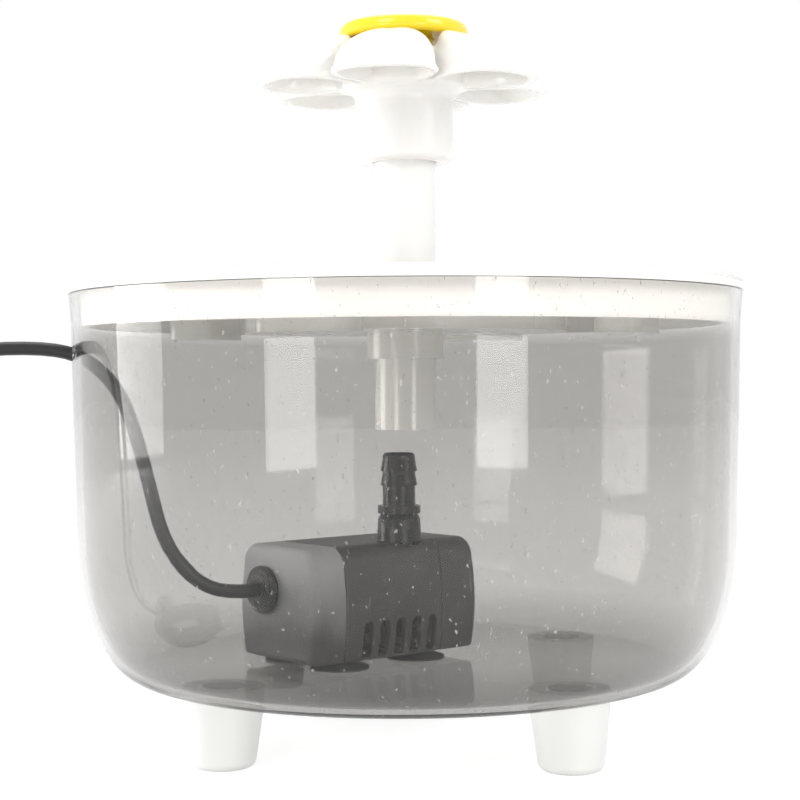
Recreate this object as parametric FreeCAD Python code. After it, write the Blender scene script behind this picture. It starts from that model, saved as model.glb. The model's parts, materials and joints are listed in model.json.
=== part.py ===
"""Pet water fountain with a lift-off flower: millimetres, +Z up, -Y towards the viewer.

The origin is on the bowl's axis, on the surface that the four feet stand on.
"""

import FreeCAD, Part
import math
import os

V = FreeCAD.Vector
ORIGIN = V(0, 0, 0)
UP = V(0, 0, 1)

# Fits, as gaps on the radius
SLIP = 0.3  # parts that lift off by hand
PUSH = 0.1  # parts pushed home once
RUN = 0.05  # rotor on its ceramic shaft

# Bowl
FLOOR_Z = 19.8  # underside of the flat floor
FLOOR_R = 79.2
FLOOR_THICK = 2.5
WALL = 2.4
SIDE_Z = 62.0  # where the rounded bottom becomes the side
LIP_Z = 123.5  # the side flares from here to the rim
RIM_Z = 131.5
RIM_R = 99.5
LIP_DRAFT = 0.7  # how far the lip leans in, below the rim
SIDE_DRAFT = 1.1  # how far the side leans in, below the lip
LIP_R = RIM_R - LIP_DRAFT
SIDE_R = LIP_R - SIDE_DRAFT
CORD_HOLE_Z = 114.2
CORD_HOLE_R = 3.2
CORD_HOLE_TURN = 191.2  # degrees about the axis, from +X

# Feet
FOOT_SIDE = 94.6  # side of the square that the feet stand on
FOOT_TURN = -4.2  # the square's turn about the axis
FOOT_TOP_R = 11.3
FOOT_BOTTOM_R = 8.9
FOOT_EDGE_R = 2.4
FOOT_SPLAY = 0.7
FOOT_BORE_DEPTH = 9.0
FOOT_BORE_R = 6.0
BOSS_LENGTH = 8.0
BOSS_WALL = 1.8

# Lid
FLANGE_PROUD = 0.5  # how far the flange stands out past the bowl's rim
FLANGE_R = RIM_R + FLANGE_PROUD
FLANGE_THICK = 3.4
FLANGE_EDGE_R = 1.5
SKIRT_Z = 121.8
SKIRT_WALL = 2.4
LEDGE_WIDTH = 8.5  # raised rim inside the bowl's rim
DISH_R = RIM_R - LEDGE_WIDTH
DISH_Z = 129.6  # drinking dish at its outer edge
DISH_FALL = 1.2  # the dish drops this much towards the filter seat
LID_WALL = 2.2
FILTER_SEAT_R = 46.0
FILTER_SEAT_Z = 122.4
COLLAR_R = 11.6
COLLAR_Z = 112.4
WELL_COUNT = 4
WELL_RING_R = 68.0
WELL_TURN = 68.0
WELL_LENGTH = 28.0
WELL_WIDTH = 14.0
WELL_Z = 119.0
WELL_CORNER_R = 4.5
WELL_SLOTS = 4
WELL_SLOT_WIDTH = 1.6
SEAT_HOLES = 12
SEAT_HOLE_R = 2.5
SEAT_HOLE_TWIST = 15.0  # degrees between the seat's middle and its edge
SEAT_RINGS = (0.45, 0.75)  # places of the two rings of holes across the seat

# Filter under its lift-out grille
GRILLE_THICK = 2.0
GRILLE_SLOTS = 24
GRILLE_SLOT_WIDTH = 3.0
GRILLE_HOLE_R = 14.0
GRILLE_INNER_BAND = 6.0
GRILLE_OUTER_BAND = 5.0
GRILLE_RIM = 2.0
PAD_THICK = 4.0

# Stem tube and flower
STEM_R = 9.2
STEM_WALL = 1.8
STEM_BOTTOM_Z = 91.2
STEM_TOP_Z = 187.0
STEM_RING_R = 11.4
STEM_RING_THICK = 2.2
SOCKET_R = 14.65
SOCKET_Z = 171.0
SOCKET_EDGE_R = 1.8
HUB_R = 18.0
HUB_Z = 192.5  # bottom edge of the petals
HUB_TOP_Z = 203.0
WATERWAY_R = 6.0
PETAL_COUNT = 6
PETAL_TURN = -98.0  # direction of the front petal
PETAL_TIP_R = 43.5
PETAL_HALF_WIDTH = 14.8
PETAL_ROOT_R = 11.0
PETAL_GAP = 4.2
PETAL_SHOULDER = 15.5  # widest place, back from the tip
PETAL_TAPER = 2.2  # how much narrower than the widest place each half starts
PETAL_ROUND = 7.0  # middle of the side's curve, back from the tip
PETAL_NOSE = 2.6  # start of the tip's curve, back from the tip
PETAL_NOSE_SHARE = 0.62  # half width there, over the widest
PETAL_WALL = 2.0
DOME_TOP_Z = 208.3
DOME_TOP_R = 20.0
DOME_EDGE_Z = 194.6
DOME_SWELL = 2.5  # outward shift of the dome's middle
DOME_FALL = 0.36  # share of its height that the dome loses by its middle
DOME_LAP = 1.0  # how far the dome's blank reaches past the petals

# Pistil
PISTIL_R = 19.2
PISTIL_Z = 207.6
PISTIL_TOP_Z = 212.2
PISTIL_EDGE_R = 2.0
NECK_R = 9.0
NECK_WALL = 2.0
NECK_DEPTH = 8.0
NECK_GAP = 0.4  # under the neck
NECK_WINDOWS = 6
NECK_WINDOW_WIDTH = 5.0

# Pump: x runs along it from the cord's end, y from its near side, z from its base
PUMP_X = -26.5
PUMP_Y = -31.7
PUMP_STAND = 2.4  # height of its base over the bowl's floor
PUMP_PLACE = V(PUMP_X, PUMP_Y, FLOOR_Z + FLOOR_THICK + PUMP_STAND)
PUMP_TURN = 40.0
PUMP_LENGTH = 62.0
PUMP_WIDTH = 36.0
PUMP_HEIGHT = 33.3
PUMP_BULGE = 0.8
PUMP_FOOT_INSET = 1.0
PUMP_SHOULDER = 5.6
PUMP_WALL = 2.0
CAP_LENGTH = 11.5
COVER_LENGTH = 14.0
PUMP_EDGE_R = 1.8
PUMP_EDGE_STEPS = 3
SPIGOT_LENGTH = 3.0
SPIGOT_WALL = 1.2
SLOT_COUNT = 5
SLOT_FIRST = 19.8
SLOT_PITCH = 6.05
SLOT_WIDTH = 3.6
SLOT_Z = 0.8
SLOT_HEIGHT = 10.5

# Motor and rotor, along x in the pump's frame
AXIS_Z = 16.6
MOTOR_LENGTH = 31.0
MOTOR_WIDTH = 24.0
MOTOR_HEIGHT = 25.4
MOTOR_WALL = 1.5
WELL_START = 11.0
ROTOR_WELL_R = 8.4
ROTOR_R = 7.7
ROTOR_GAP = 0.6  # end play of the rotor
SHAFT_R = 1.15
BUSH_R = 2.6
BUSH_LENGTH = 3.0
CORE_WIDTH = 9.0
CORE_THICK = 2.2
YOKE_THICK = 3.0
WINDING_THICK = 2.6
WINDING_HEIGHT = 12.0
VOLUTE_R = 13.0
VOLUTE_LENGTH = 12.0
VOLUTE_WALL = 1.4
IMPELLER_R = 10.2
IMPELLER_LENGTH = 7.0
IMPELLER_DISC = 1.4
IMPELLER_HUB_R = 3.4
BLADE_COUNT = 6
BLADE_THICK = 1.1
INTAKE_R = 6.0
SPIDER_ARMS = 3
SPIDER_WIDTH = 1.6
SPIDER_LAP = 0.8

# Outlet nozzle
NOZZLE_X = 39.0
NOZZLE_Y = 8.8
NOZZLE_R = 5.1
NOZZLE_WALL = 1.3
NOZZLE_TOP_Z = 84.2
BARB_Z = (78.8, 74.5)
BARB_RISE = 0.45
NOZZLE_RING_R = 6.45
NOZZLE_RING_Z = (66.1, 68.4)
NOZZLE_COLLAR_R = 6.75
NOZZLE_SPIGOT = 6.0

# Cups and cord gland
CUP_R = 8.75
CUP_XS = (14.4, 43.6)
CUP_YS = (7.0, 29.0)
CUP_LIP = 0.6
CUP_STUD_R = 2.6
CUP_STUD_LENGTH = 1.6
GLAND_Y = 23.6
GLAND_Z = 20.3
GLAND_R = 7.0
GLAND_NOSE_R = 4.6
GLAND_OUT = 3.0
GLAND_NECK_R = 4.0

# Cord: 4 mm low-voltage lead, whose coil is held by a flat tie
CORD_R = 2.0
TIE_WIDTH = 5.0
TIE_THICK = 0.7
TIE_GAP = 0.3
TIE_TURN = -60.0
COIL_Z = CORD_R + TIE_GAP + TIE_THICK  # middle of the lowest turns
CORD_ROUTE = [
    V(-52.4, -22.6, 44.8),
    V(-62.0, -27.2, 50.3),
    V(-69.3, -28.5, 61.0),
    V(-73.5, -27.5, 78.0),
    V(-78.0, -24.5, 93.5),
    V(-83.2, -20.8, 104.6),
    V(-92.5, -18.7, 113.2),
    V(-104.5, -20.0, 116.2),
    V(-127.0, -24.6, 115.4),
    V(-146.0, -28.0, 107.5),
    V(-157.5, -30.5, 89.5),
    V(-160.5, -31.8, 66.0),
    V(-161.5, -34.0, 41.5),
    V(-165.5, -39.5, 17.5),
    V(-174.5, -57.0, COIL_Z),
]
SHORTEST_BEND = 5.0  # bend radius over diameter that the route keeps to

# Coil of the cord's spare length
COIL_X = -143.0
COIL_Y = -84.0
COIL_R = 31.5
COIL_PITCH = 4.5
COIL_LAYER = 4.5
COIL_TURNS = 3.5  # in each of the two layers
COIL_END_CLIMB = 6.6
GAP_STEP = 1.5  # between the points that the coil's gap is measured on
COIL_END_R = 22.0

# Plug
RELIEF_LENGTH = 9.0
RELIEF_R = 3.2
PLUG_LENGTH = 20.0
PLUG_WIDTH = 15.6
PLUG_HEIGHT = 8.2
PLUG_CORNER_R = 2.2
SHELL_LENGTH = 13.5
SHELL_WIDTH = 12.0
SHELL_HEIGHT = 4.5
SHELL_WALL = 0.3
SHELL_BACK = 0.4  # wall behind the tongue
TONGUE_THICK = 1.9
TONGUE_SHORT = 1.0  # how far the tongue stops short of the shell's mouth


def closed_face(points, vertical=True):
    """Face inside a closed outline. A point is (a, b), or (a, b, mid_a, mid_b) where an arc leads to it."""
    place = (lambda a, b: V(a, 0, b)) if vertical else (lambda a, b: V(a, b, 0))
    edges = []
    ring = points[1:] + points[:1]
    start = place(points[0][0], points[0][1])
    for point in ring:
        end = place(point[0], point[1])
        if len(point) == 4:
            edges.append(Part.Arc(start, place(point[2], point[3]), end).toShape())
        elif start.distanceToPoint(end) > 1e-6:
            edges.append(Part.LineSegment(start, end).toShape())
        start = end
    return Part.Face(Part.Wire(edges))


def lathe(points):
    """Solid of revolution about Z from an outline of (radius, z) points."""
    return closed_face(points).revolve(ORIGIN, UP, 360)


def tube(outer, inner, low, high):
    """Plain ring about Z."""
    body = Part.makeCylinder(outer, high - low, V(0, 0, low))
    return body.cut(Part.makeCylinder(inner, high - low + 2, V(0, 0, low - 1)))


def turned(shape, degrees):
    """Copy of a shape, turned about Z."""
    copy = shape.copy()
    copy.rotate(ORIGIN, UP, degrees)
    return copy


def moved(shape, x, y, z):
    """Copy of a shape, moved."""
    copy = shape.copy()
    copy.translate(V(x, y, z))
    return copy


def ring_of(shape, count, first=0.0):
    """Copies of a shape, evenly spaced about Z."""
    return [turned(shape, first + 360.0 * i / count) for i in range(count)]


def along_x(shape, start, y, z):
    """A shape made about Z from z=0, laid along +X from a start point."""
    copy = shape.copy()
    copy.rotate(ORIGIN, V(0, 1, 0), 90)
    copy.translate(V(start, y, z))
    return copy


def rounded_box(length, width, height, corner):
    """Box centred on X and Y, standing on z=0, with rounded upright edges."""
    box = Part.makeBox(length, width, height, V(-length / 2, -width / 2, 0))
    upright = [e for e in box.Edges if abs(e.tangentAt(e.FirstParameter).z) > 0.9]
    return box.makeFillet(corner, upright)


def quarter_ellipse(centre_r, centre_z, across, down):
    """Edge of the rounded bottom, from straight down to straight out."""
    low = V(centre_r, 0, centre_z - down)
    out = V(centre_r + across, 0, centre_z)
    curve = Part.Ellipse(low, out, V(centre_r, 0, centre_z))
    return curve.toShape(0, math.pi / 2)


def foot_centres():
    """Centres of the feet: front left, front right, back right, back left."""
    half = FOOT_SIDE / 2
    turn = math.radians(FOOT_TURN)
    corners = [(-half, -half), (half, -half), (half, half), (-half, half)]
    return [
        V(x * math.cos(turn) - y * math.sin(turn), x * math.sin(turn) + y * math.cos(turn), 0)
        for x, y in corners
    ]


def inner_wall_r(z):
    """Inside radius of the bowl's straight side at a height."""
    share = (z - LIP_Z) / (RIM_Z - LIP_Z)
    return LIP_R + (RIM_R - LIP_R) * share - WALL


def make_bowl():
    """Moulded bowl with its foot bosses and the cord's hole."""
    down = SIDE_Z - FLOOR_Z
    inner_z = FLOOR_Z + FLOOR_THICK
    across = SIDE_R - FLOOR_R
    outside = quarter_ellipse(FLOOR_R, SIDE_Z, across, down)
    inside = quarter_ellipse(FLOOR_R, SIDE_Z, across - WALL, down - FLOOR_THICK)
    straight = [
        (V(0, 0, inner_z), V(0, 0, FLOOR_Z)),
        (V(0, 0, FLOOR_Z), V(FLOOR_R, 0, FLOOR_Z)),
        (V(SIDE_R, 0, SIDE_Z), V(LIP_R, 0, LIP_Z)),
        (V(LIP_R, 0, LIP_Z), V(RIM_R, 0, RIM_Z)),
        (V(RIM_R, 0, RIM_Z), V(RIM_R - WALL, 0, RIM_Z)),
        (V(RIM_R - WALL, 0, RIM_Z), V(LIP_R - WALL, 0, LIP_Z)),
        (V(LIP_R - WALL, 0, LIP_Z), V(SIDE_R - WALL, 0, SIDE_Z)),
        (V(FLOOR_R, 0, inner_z), V(0, 0, inner_z)),
    ]
    edges = [Part.LineSegment(a, b).toShape() for a, b in straight] + [outside, inside]
    bowl = Part.Face(Part.Wire(Part.__sortEdges__(edges))).revolve(ORIGIN, UP, 360)
    boss_r = FOOT_BORE_R - PUSH
    boss = tube(boss_r, boss_r - BOSS_WALL, FLOOR_Z - BOSS_LENGTH, FLOOR_Z)
    for centre in foot_centres():
        bowl = bowl.fuse(moved(boss, centre.x, centre.y, 0))
    hole = along_x(Part.makeCylinder(CORD_HOLE_R, 2 * RIM_R), 0, 0, CORD_HOLE_Z)
    return bowl.cut(turned(hole, CORD_HOLE_TURN)).removeSplitter()


def make_foot(centre):
    """Tapered foot, a little splayed, with the blind bore that takes the bowl's boss."""
    away = V(centre.x, centre.y, 0).normalize() * FOOT_SPLAY
    low = Part.Wire(Part.Circle(centre + away, UP, FOOT_BOTTOM_R).toShape())
    high = Part.Wire(Part.Circle(centre + V(0, 0, FLOOR_Z), UP, FOOT_TOP_R).toShape())
    foot = Part.makeLoft([low, high], True, True)
    foot = foot.makeFillet(FOOT_EDGE_R, [e for e in foot.Edges if e.BoundBox.ZMax < 0.01])
    bore_place = V(centre.x, centre.y, FLOOR_Z - FOOT_BORE_DEPTH)
    return foot.cut(Part.makeCylinder(FOOT_BORE_R, FOOT_BORE_DEPTH + 1, bore_place))


def drain_well():
    """Outer block and inner pocket of one drain well, on +X."""
    roof = DISH_Z - DISH_FALL
    block = rounded_box(WELL_WIDTH, WELL_LENGTH, roof - WELL_Z, WELL_CORNER_R)
    inside = WELL_CORNER_R - LID_WALL
    pocket = rounded_box(WELL_WIDTH - 2 * LID_WALL, WELL_LENGTH - 2 * LID_WALL, RIM_Z - WELL_Z, inside)
    slot = Part.makeBox(WELL_WIDTH - 3 * LID_WALL, WELL_SLOT_WIDTH, 4 * LID_WALL)
    slot.translate(V(-slot.BoundBox.XLength / 2, -WELL_SLOT_WIDTH / 2, -2 * LID_WALL))
    pitch = (WELL_LENGTH - 3 * LID_WALL) / WELL_SLOTS
    slots = [moved(slot, 0, pitch * (i - (WELL_SLOTS - 1) / 2), 0) for i in range(WELL_SLOTS)]
    opening = moved(pocket, 0, 0, LID_WALL).fuse(slots)
    return moved(block, WELL_RING_R, 0, WELL_Z), moved(opening, WELL_RING_R, 0, WELL_Z)


def make_lid():
    """Lid: flange, skirt, drinking dish, filter seat, drain wells and the stem's collar."""
    top = RIM_Z + FLANGE_THICK
    skirt_r = inner_wall_r(SKIRT_Z) - SLIP
    edge = FLANGE_EDGE_R
    bend = edge * (1 - math.sqrt(0.5))
    dish_low = DISH_Z - DISH_FALL
    lid = lathe([
        (COLLAR_R, COLLAR_Z),
        (COLLAR_R, FILTER_SEAT_Z - LID_WALL),
        (FILTER_SEAT_R + LID_WALL, FILTER_SEAT_Z - LID_WALL),
        (FILTER_SEAT_R + LID_WALL, dish_low - LID_WALL),
        (skirt_r - SKIRT_WALL, DISH_Z - LID_WALL),
        (skirt_r - SKIRT_WALL, SKIRT_Z),
        (skirt_r, SKIRT_Z),
        (skirt_r, RIM_Z),
        (FLANGE_R, RIM_Z),
        (FLANGE_R, top - edge),
        (FLANGE_R - edge, top, FLANGE_R - bend, top - bend),
        (DISH_R + edge, top),
        (DISH_R, DISH_Z),
        (FILTER_SEAT_R, dish_low),
        (FILTER_SEAT_R, FILTER_SEAT_Z),
        (STEM_R + SLIP, FILTER_SEAT_Z),
        (STEM_R + SLIP, COLLAR_Z),
    ])
    block, opening = drain_well()
    lid = lid.fuse(ring_of(block, WELL_COUNT, WELL_TURN))
    hole = Part.makeCylinder(SEAT_HOLE_R, 3 * LID_WALL, V(0, 0, FILTER_SEAT_Z - 2 * LID_WALL))
    for share in SEAT_RINGS:
        ring = moved(hole, FILTER_SEAT_R * share, 0, 0)
        lid = lid.cut(ring_of(ring, SEAT_HOLES, SEAT_HOLE_TWIST * share))
    return lid.cut(ring_of(opening, WELL_COUNT, WELL_TURN)).removeSplitter()


def make_filter():
    """Grille that lies flush in the dish, and the pad under it."""
    grille_z = DISH_Z - DISH_FALL - GRILLE_THICK
    outer = FILTER_SEAT_R - SLIP
    rim_r = outer - GRILLE_RIM
    grille = tube(outer, GRILLE_HOLE_R, grille_z, grille_z + GRILLE_THICK)
    rim = tube(outer, rim_r, FILTER_SEAT_Z, grille_z)
    slot_start = GRILLE_HOLE_R + GRILLE_INNER_BAND
    slot = Part.makeBox(outer - GRILLE_OUTER_BAND - slot_start, GRILLE_SLOT_WIDTH, 2 * GRILLE_THICK)
    slot.translate(V(slot_start, -GRILLE_SLOT_WIDTH / 2, grille_z - GRILLE_THICK / 2))
    grille = grille.fuse(rim).cut(ring_of(slot, GRILLE_SLOTS)).removeSplitter()
    pad_top = grille_z - PUSH
    pad = tube(rim_r - SLIP, GRILLE_HOLE_R, pad_top - PAD_THICK + PUSH, pad_top)
    return grille, pad


def make_stem():
    """Tube with the ring that stands on the lid's filter seat."""
    ring_top = FILTER_SEAT_Z + STEM_RING_THICK
    inner = STEM_R - STEM_WALL
    return lathe([
        (inner, STEM_BOTTOM_Z),
        (STEM_R, STEM_BOTTOM_Z),
        (STEM_R, FILTER_SEAT_Z),
        (STEM_RING_R, FILTER_SEAT_Z),
        (STEM_RING_R, ring_top),
        (STEM_R, ring_top),
        (STEM_R, STEM_TOP_Z),
        (inner, STEM_TOP_Z),
    ])


def petal_outline(inset):
    """Face of one petal on +X, drawn in by an inset."""
    tip = PETAL_TIP_R - inset
    half = PETAL_HALF_WIDTH - inset
    root = PETAL_ROOT_R + inset
    sector = math.tan(math.pi / PETAL_COUNT)
    root_half = root * sector - PETAL_GAP / 2 / math.cos(math.pi / PETAL_COUNT) - inset
    root_half = max(root_half, half / 6)
    side_r = tip - PETAL_SHOULDER
    side_half = half - PETAL_TAPER
    round_r = tip - PETAL_ROUND
    tip_r = tip - PETAL_NOSE
    tip_half = half * PETAL_NOSE_SHARE
    return closed_face([
        (root, -root_half),
        (side_r, -side_half),
        (tip_r, -tip_half, round_r, -half),
        (tip_r, tip_half, tip, 0),
        (side_r, side_half, round_r, half),
        (root, root_half),
    ], vertical=False)


def dome(drop):
    """Solid under the petals' domed top, lowered by a drop."""
    low = HUB_Z - DOME_LAP
    top = DOME_TOP_Z - drop
    edge = DOME_EDGE_Z - drop
    reach = PETAL_TIP_R + 2 * DOME_LAP
    mid_r = (DOME_TOP_R + PETAL_TIP_R) / 2 + DOME_SWELL
    mid_z = DOME_TOP_Z - DOME_FALL * (DOME_TOP_Z - DOME_EDGE_Z) - drop
    return lathe([
        (0, low),
        (reach, low),
        (reach, edge),
        (PETAL_TIP_R, edge),
        (DOME_TOP_R, top, mid_r, mid_z),
        (0, top),
    ])


def make_flower():
    """Six hollow petals on a hub whose socket goes over the stem tube."""
    height = DOME_TOP_Z - HUB_Z + 2 * DOME_LAP
    outer = petal_outline(0).extrude(V(0, 0, height))
    inner = petal_outline(PETAL_WALL).extrude(V(0, 0, height))
    petal = moved(outer, 0, 0, HUB_Z).common(dome(0))
    petal = petal.cut(moved(inner, 0, 0, HUB_Z - 0.5).common(dome(PETAL_WALL)))
    edge = SOCKET_EDGE_R
    bend = edge * (1 - math.sqrt(0.5))
    hub = lathe([
        (0, SOCKET_Z),
        (SOCKET_R - edge, SOCKET_Z),
        (SOCKET_R, SOCKET_Z + edge, SOCKET_R - bend, SOCKET_Z + bend),
        (SOCKET_R, HUB_Z - 3.0),
        (HUB_R, HUB_Z, SOCKET_R + 1.0, HUB_Z - 0.8),
        (HUB_R, HUB_TOP_Z),
        (0, HUB_TOP_Z),
    ])
    flower = hub.fuse(ring_of(petal, PETAL_COUNT, PETAL_TURN))
    socket = Part.makeCylinder(STEM_R + PUSH, STEM_TOP_Z - SOCKET_Z + 1, V(0, 0, SOCKET_Z - 1))
    waterway = Part.makeCylinder(WATERWAY_R, HUB_TOP_Z - SOCKET_Z, V(0, 0, SOCKET_Z))
    cup_z = PISTIL_Z - SLIP - NECK_DEPTH - NECK_GAP
    cup = Part.makeCylinder(NECK_R + SLIP, HUB_TOP_Z, V(0, 0, cup_z))
    seat = Part.makeCylinder(PISTIL_R + 0.5, HUB_TOP_Z, V(0, 0, PISTIL_Z - SLIP))
    return flower.cut([socket, waterway, cup, seat]).removeSplitter()


def make_pistil():
    """Round yellow cap on a neck that stands in the flower's hub."""
    edge = PISTIL_EDGE_R
    bend = edge * (1 - math.sqrt(0.5))
    foot_z = PISTIL_Z - SLIP - NECK_DEPTH - NECK_GAP
    roof_z = PISTIL_Z + NECK_WALL - NECK_GAP
    inner = NECK_R - NECK_WALL
    cap = lathe([
        (0, roof_z),
        (0, PISTIL_TOP_Z - 0.5),
        (PISTIL_R - edge - 2.0, PISTIL_TOP_Z - 0.2),
        (PISTIL_R - edge, PISTIL_TOP_Z),
        (PISTIL_R, PISTIL_TOP_Z - edge, PISTIL_R - bend, PISTIL_TOP_Z - bend),
        (PISTIL_R - edge * 0.6, PISTIL_Z, PISTIL_R - 0.2, PISTIL_Z + 0.9),
        (NECK_R, PISTIL_Z),
        (NECK_R, foot_z),
        (inner, foot_z),
        (inner, roof_z),
    ])
    window = Part.makeBox(NECK_R + 4, NECK_WINDOW_WIDTH, 3.0, V(0, -NECK_WINDOW_WIDTH / 2, HUB_TOP_Z + 0.6))
    return cap.cut(ring_of(window, NECK_WINDOWS)).removeSplitter()


def pump_outline(inset):
    """Face of the pump's section in the YZ plane, drawn in by an inset."""
    mid = PUMP_WIDTH / 2
    foot = mid - PUMP_FOOT_INSET - inset
    belly = mid + PUMP_BULGE - inset
    hip = mid - 0.6 - inset
    top = mid - PUMP_SHOULDER - inset * 0.6
    low = inset
    high = PUMP_HEIGHT - inset
    hip_z = PUMP_HEIGHT - 6.0
    corner = (hip + top) / 2 + 1.0
    face = closed_face([
        (-foot, low),
        (foot, low),
        (hip, hip_z, belly, PUMP_HEIGHT * 0.45),
        (top, high, corner, (hip_z + high) / 2 + 1.0),
        (-top, high),
        (-hip, hip_z, -corner, (hip_z + high) / 2 + 1.0),
        (-foot, low, -belly, PUMP_HEIGHT * 0.45),
    ])
    face.rotate(ORIGIN, UP, 90)
    face.translate(V(0, mid, 0))
    return face


def pump_length(inset, start, end):
    """Part of the pump's section between two places along it."""
    return moved(pump_outline(inset).extrude(V(end - start, 0, 0)), start, 0, 0)


def rounded_length(face_x, other_x):
    """Part of the pump's section whose edge is rounded at one face."""
    way = 1 if other_x > face_x else -1
    wires = []
    for step in range(PUMP_EDGE_STEPS + 1):
        angle = math.pi / 2 * step / PUMP_EDGE_STEPS
        inset = PUMP_EDGE_R * (1 - math.sin(angle))
        x = face_x + way * PUMP_EDGE_R * (1 - math.cos(angle))
        wires.append(moved(pump_outline(inset), x, 0, 0).OuterWire)
    wires.append(moved(pump_outline(0), other_x, 0, 0).OuterWire)
    return Part.makeLoft(wires, True, True)


def make_end_cap():
    """Closed end with the cord gland's hole."""
    cap = rounded_length(0, CAP_LENGTH)
    cap = cap.cut(pump_length(PUMP_WALL, PUMP_WALL, CAP_LENGTH + 1))
    return cap.cut(along_x(Part.makeCylinder(GLAND_NECK_R, 4 * PUMP_WALL), -PUMP_WALL, GLAND_Y, GLAND_Z))


def spigot(start, end):
    """Thin sleeve that lines up two lengths of the pump's shell."""
    outer = PUMP_WALL + PUSH
    return pump_length(outer, start, end).cut(pump_length(outer + SPIGOT_WALL, start - 1, end + 1))


def slot_cutter(x):
    """Upright slot with a round top, right through the pump's two sides."""
    width = 2 * PUMP_WIDTH
    crown_r = SLOT_WIDTH / 2
    straight = SLOT_HEIGHT - crown_r
    box = Part.makeBox(SLOT_WIDTH, width, straight, V(x - crown_r, -width / 4, SLOT_Z))
    crown_place = V(x, -width / 4, SLOT_Z + straight)
    return box.fuse(Part.makeCylinder(crown_r, width, crown_place, V(0, 1, 0)))


def make_pump_body():
    """Middle length of the shell, with its slots and the hole for the outlet."""
    start = CAP_LENGTH
    end = PUMP_LENGTH - COVER_LENGTH
    body = pump_length(0, start, end).cut(pump_length(PUMP_WALL, start - 1, end + 1))
    root = start - SPIGOT_LENGTH
    sleeve = spigot(root, start + SPIGOT_LENGTH)
    link = pump_length(PUMP_WALL - 0.2, start + 0.5, start + SPIGOT_LENGTH)
    link = link.cut(pump_length(PUMP_WALL + PUSH + SPIGOT_WALL, start, end))
    body = body.fuse([sleeve, link])
    body = body.cut([slot_cutter(SLOT_FIRST + SLOT_PITCH * i) for i in range(SLOT_COUNT)])
    outlet = Part.makeCylinder(NOZZLE_COLLAR_R - 1.0 + PUSH, PUMP_HEIGHT, V(NOZZLE_X, NOZZLE_Y, AXIS_Z))
    studs = [
        Part.makeCylinder(CUP_STUD_R + PUSH, 3 * PUMP_WALL, V(x, y, -PUMP_WALL))
        for x in CUP_XS
        for y in CUP_YS
    ]
    return body.cut([outlet] + studs).removeSplitter()


def make_front_cover():
    """Removable end of the shell, opened to clean the rotor."""
    start = PUMP_LENGTH - COVER_LENGTH
    cover = rounded_length(PUMP_LENGTH, start)
    cover = cover.cut(pump_length(PUMP_WALL, start - 1, PUMP_LENGTH - PUMP_WALL))
    outer = PUMP_WALL + SLIP
    sleeve = pump_length(outer, start - SPIGOT_LENGTH, start + SPIGOT_LENGTH)
    sleeve = sleeve.cut(pump_length(outer + SPIGOT_WALL, start - SPIGOT_LENGTH - 1, PUMP_LENGTH))
    link = pump_length(PUMP_WALL - 0.2, start + 0.5, start + SPIGOT_LENGTH)
    link = link.cut(pump_length(outer + SPIGOT_WALL, start, PUMP_LENGTH))
    return cover.fuse([sleeve, link]).removeSplitter()


def make_motor_housing():
    """Sealed can of the stator, with the open well that the rotor turns in."""
    end = PUMP_WALL + MOTOR_LENGTH
    mid = PUMP_WIDTH / 2
    low = AXIS_Z - MOTOR_HEIGHT / 2
    box = Part.makeBox(MOTOR_LENGTH, MOTOR_WIDTH, MOTOR_HEIGHT, V(PUMP_WALL, mid - MOTOR_WIDTH / 2, low))
    inside = Part.makeBox(
        MOTOR_LENGTH - 2 * MOTOR_WALL,
        MOTOR_WIDTH - 2 * MOTOR_WALL,
        MOTOR_HEIGHT - 2 * MOTOR_WALL,
        V(PUMP_WALL + MOTOR_WALL, mid - MOTOR_WIDTH / 2 + MOTOR_WALL, low + MOTOR_WALL),
    )
    well_out = Part.makeCylinder(ROTOR_WELL_R + MOTOR_WALL, end - WELL_START)
    well_out = along_x(well_out, WELL_START, mid, AXIS_Z)
    bottom = WELL_START + MOTOR_WALL
    well_in = along_x(Part.makeCylinder(ROTOR_WELL_R, end - bottom + 1), bottom, mid, AXIS_Z)
    bush_seat = along_x(tube(BUSH_R + 1.2, BUSH_R + PUSH, 0, BUSH_LENGTH), bottom, mid, AXIS_Z)
    lead = along_x(Part.makeCylinder(CORD_R + 0.5, 3 * MOTOR_WALL), 0, GLAND_Y, GLAND_Z)
    housing = box.cut(inside).fuse(well_out).cut(well_in).fuse(bush_seat)
    return housing.cut(lead).removeSplitter()


def make_stator():
    """U-shaped laminated core round the rotor's well, and the winding on its yoke."""
    mid = PUMP_WIDTH / 2
    start = PUMP_WALL + MOTOR_WALL + 0.4
    reach = MOTOR_LENGTH - 2 * MOTOR_WALL - 0.8
    outer = MOTOR_HEIGHT / 2 - MOTOR_WALL - 0.3
    low = AXIS_Z - outer
    side = mid - CORE_WIDTH / 2
    block = Part.makeBox(reach, CORE_WIDTH, 2 * outer, V(start, side, low))
    gap_place = V(start + YOKE_THICK, side - 1, low + CORE_THICK)
    gap = Part.makeBox(reach, CORE_WIDTH + 2, 2 * (outer - CORE_THICK), gap_place)
    well = Part.makeCylinder(ROTOR_WELL_R + MOTOR_WALL + PUSH, MOTOR_LENGTH)
    core = block.cut([gap, along_x(well, WELL_START - PUSH, mid, AXIS_Z)])
    thick = WINDING_THICK
    low = AXIS_Z - WINDING_HEIGHT / 2
    back = PUMP_WALL + MOTOR_WALL
    around = Part.makeBox(
        YOKE_THICK + 0.4 + thick,
        CORE_WIDTH + 2 * thick,
        WINDING_HEIGHT,
        V(back + PUSH, side - thick, low),
    )
    core_hole = Part.makeBox(
        YOKE_THICK + 2 * PUSH,
        CORE_WIDTH + 2 * PUSH,
        WINDING_HEIGHT + 2,
        V(start - PUSH, side - PUSH, low - 1),
    )
    return core, around.cut(core_hole)


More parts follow.
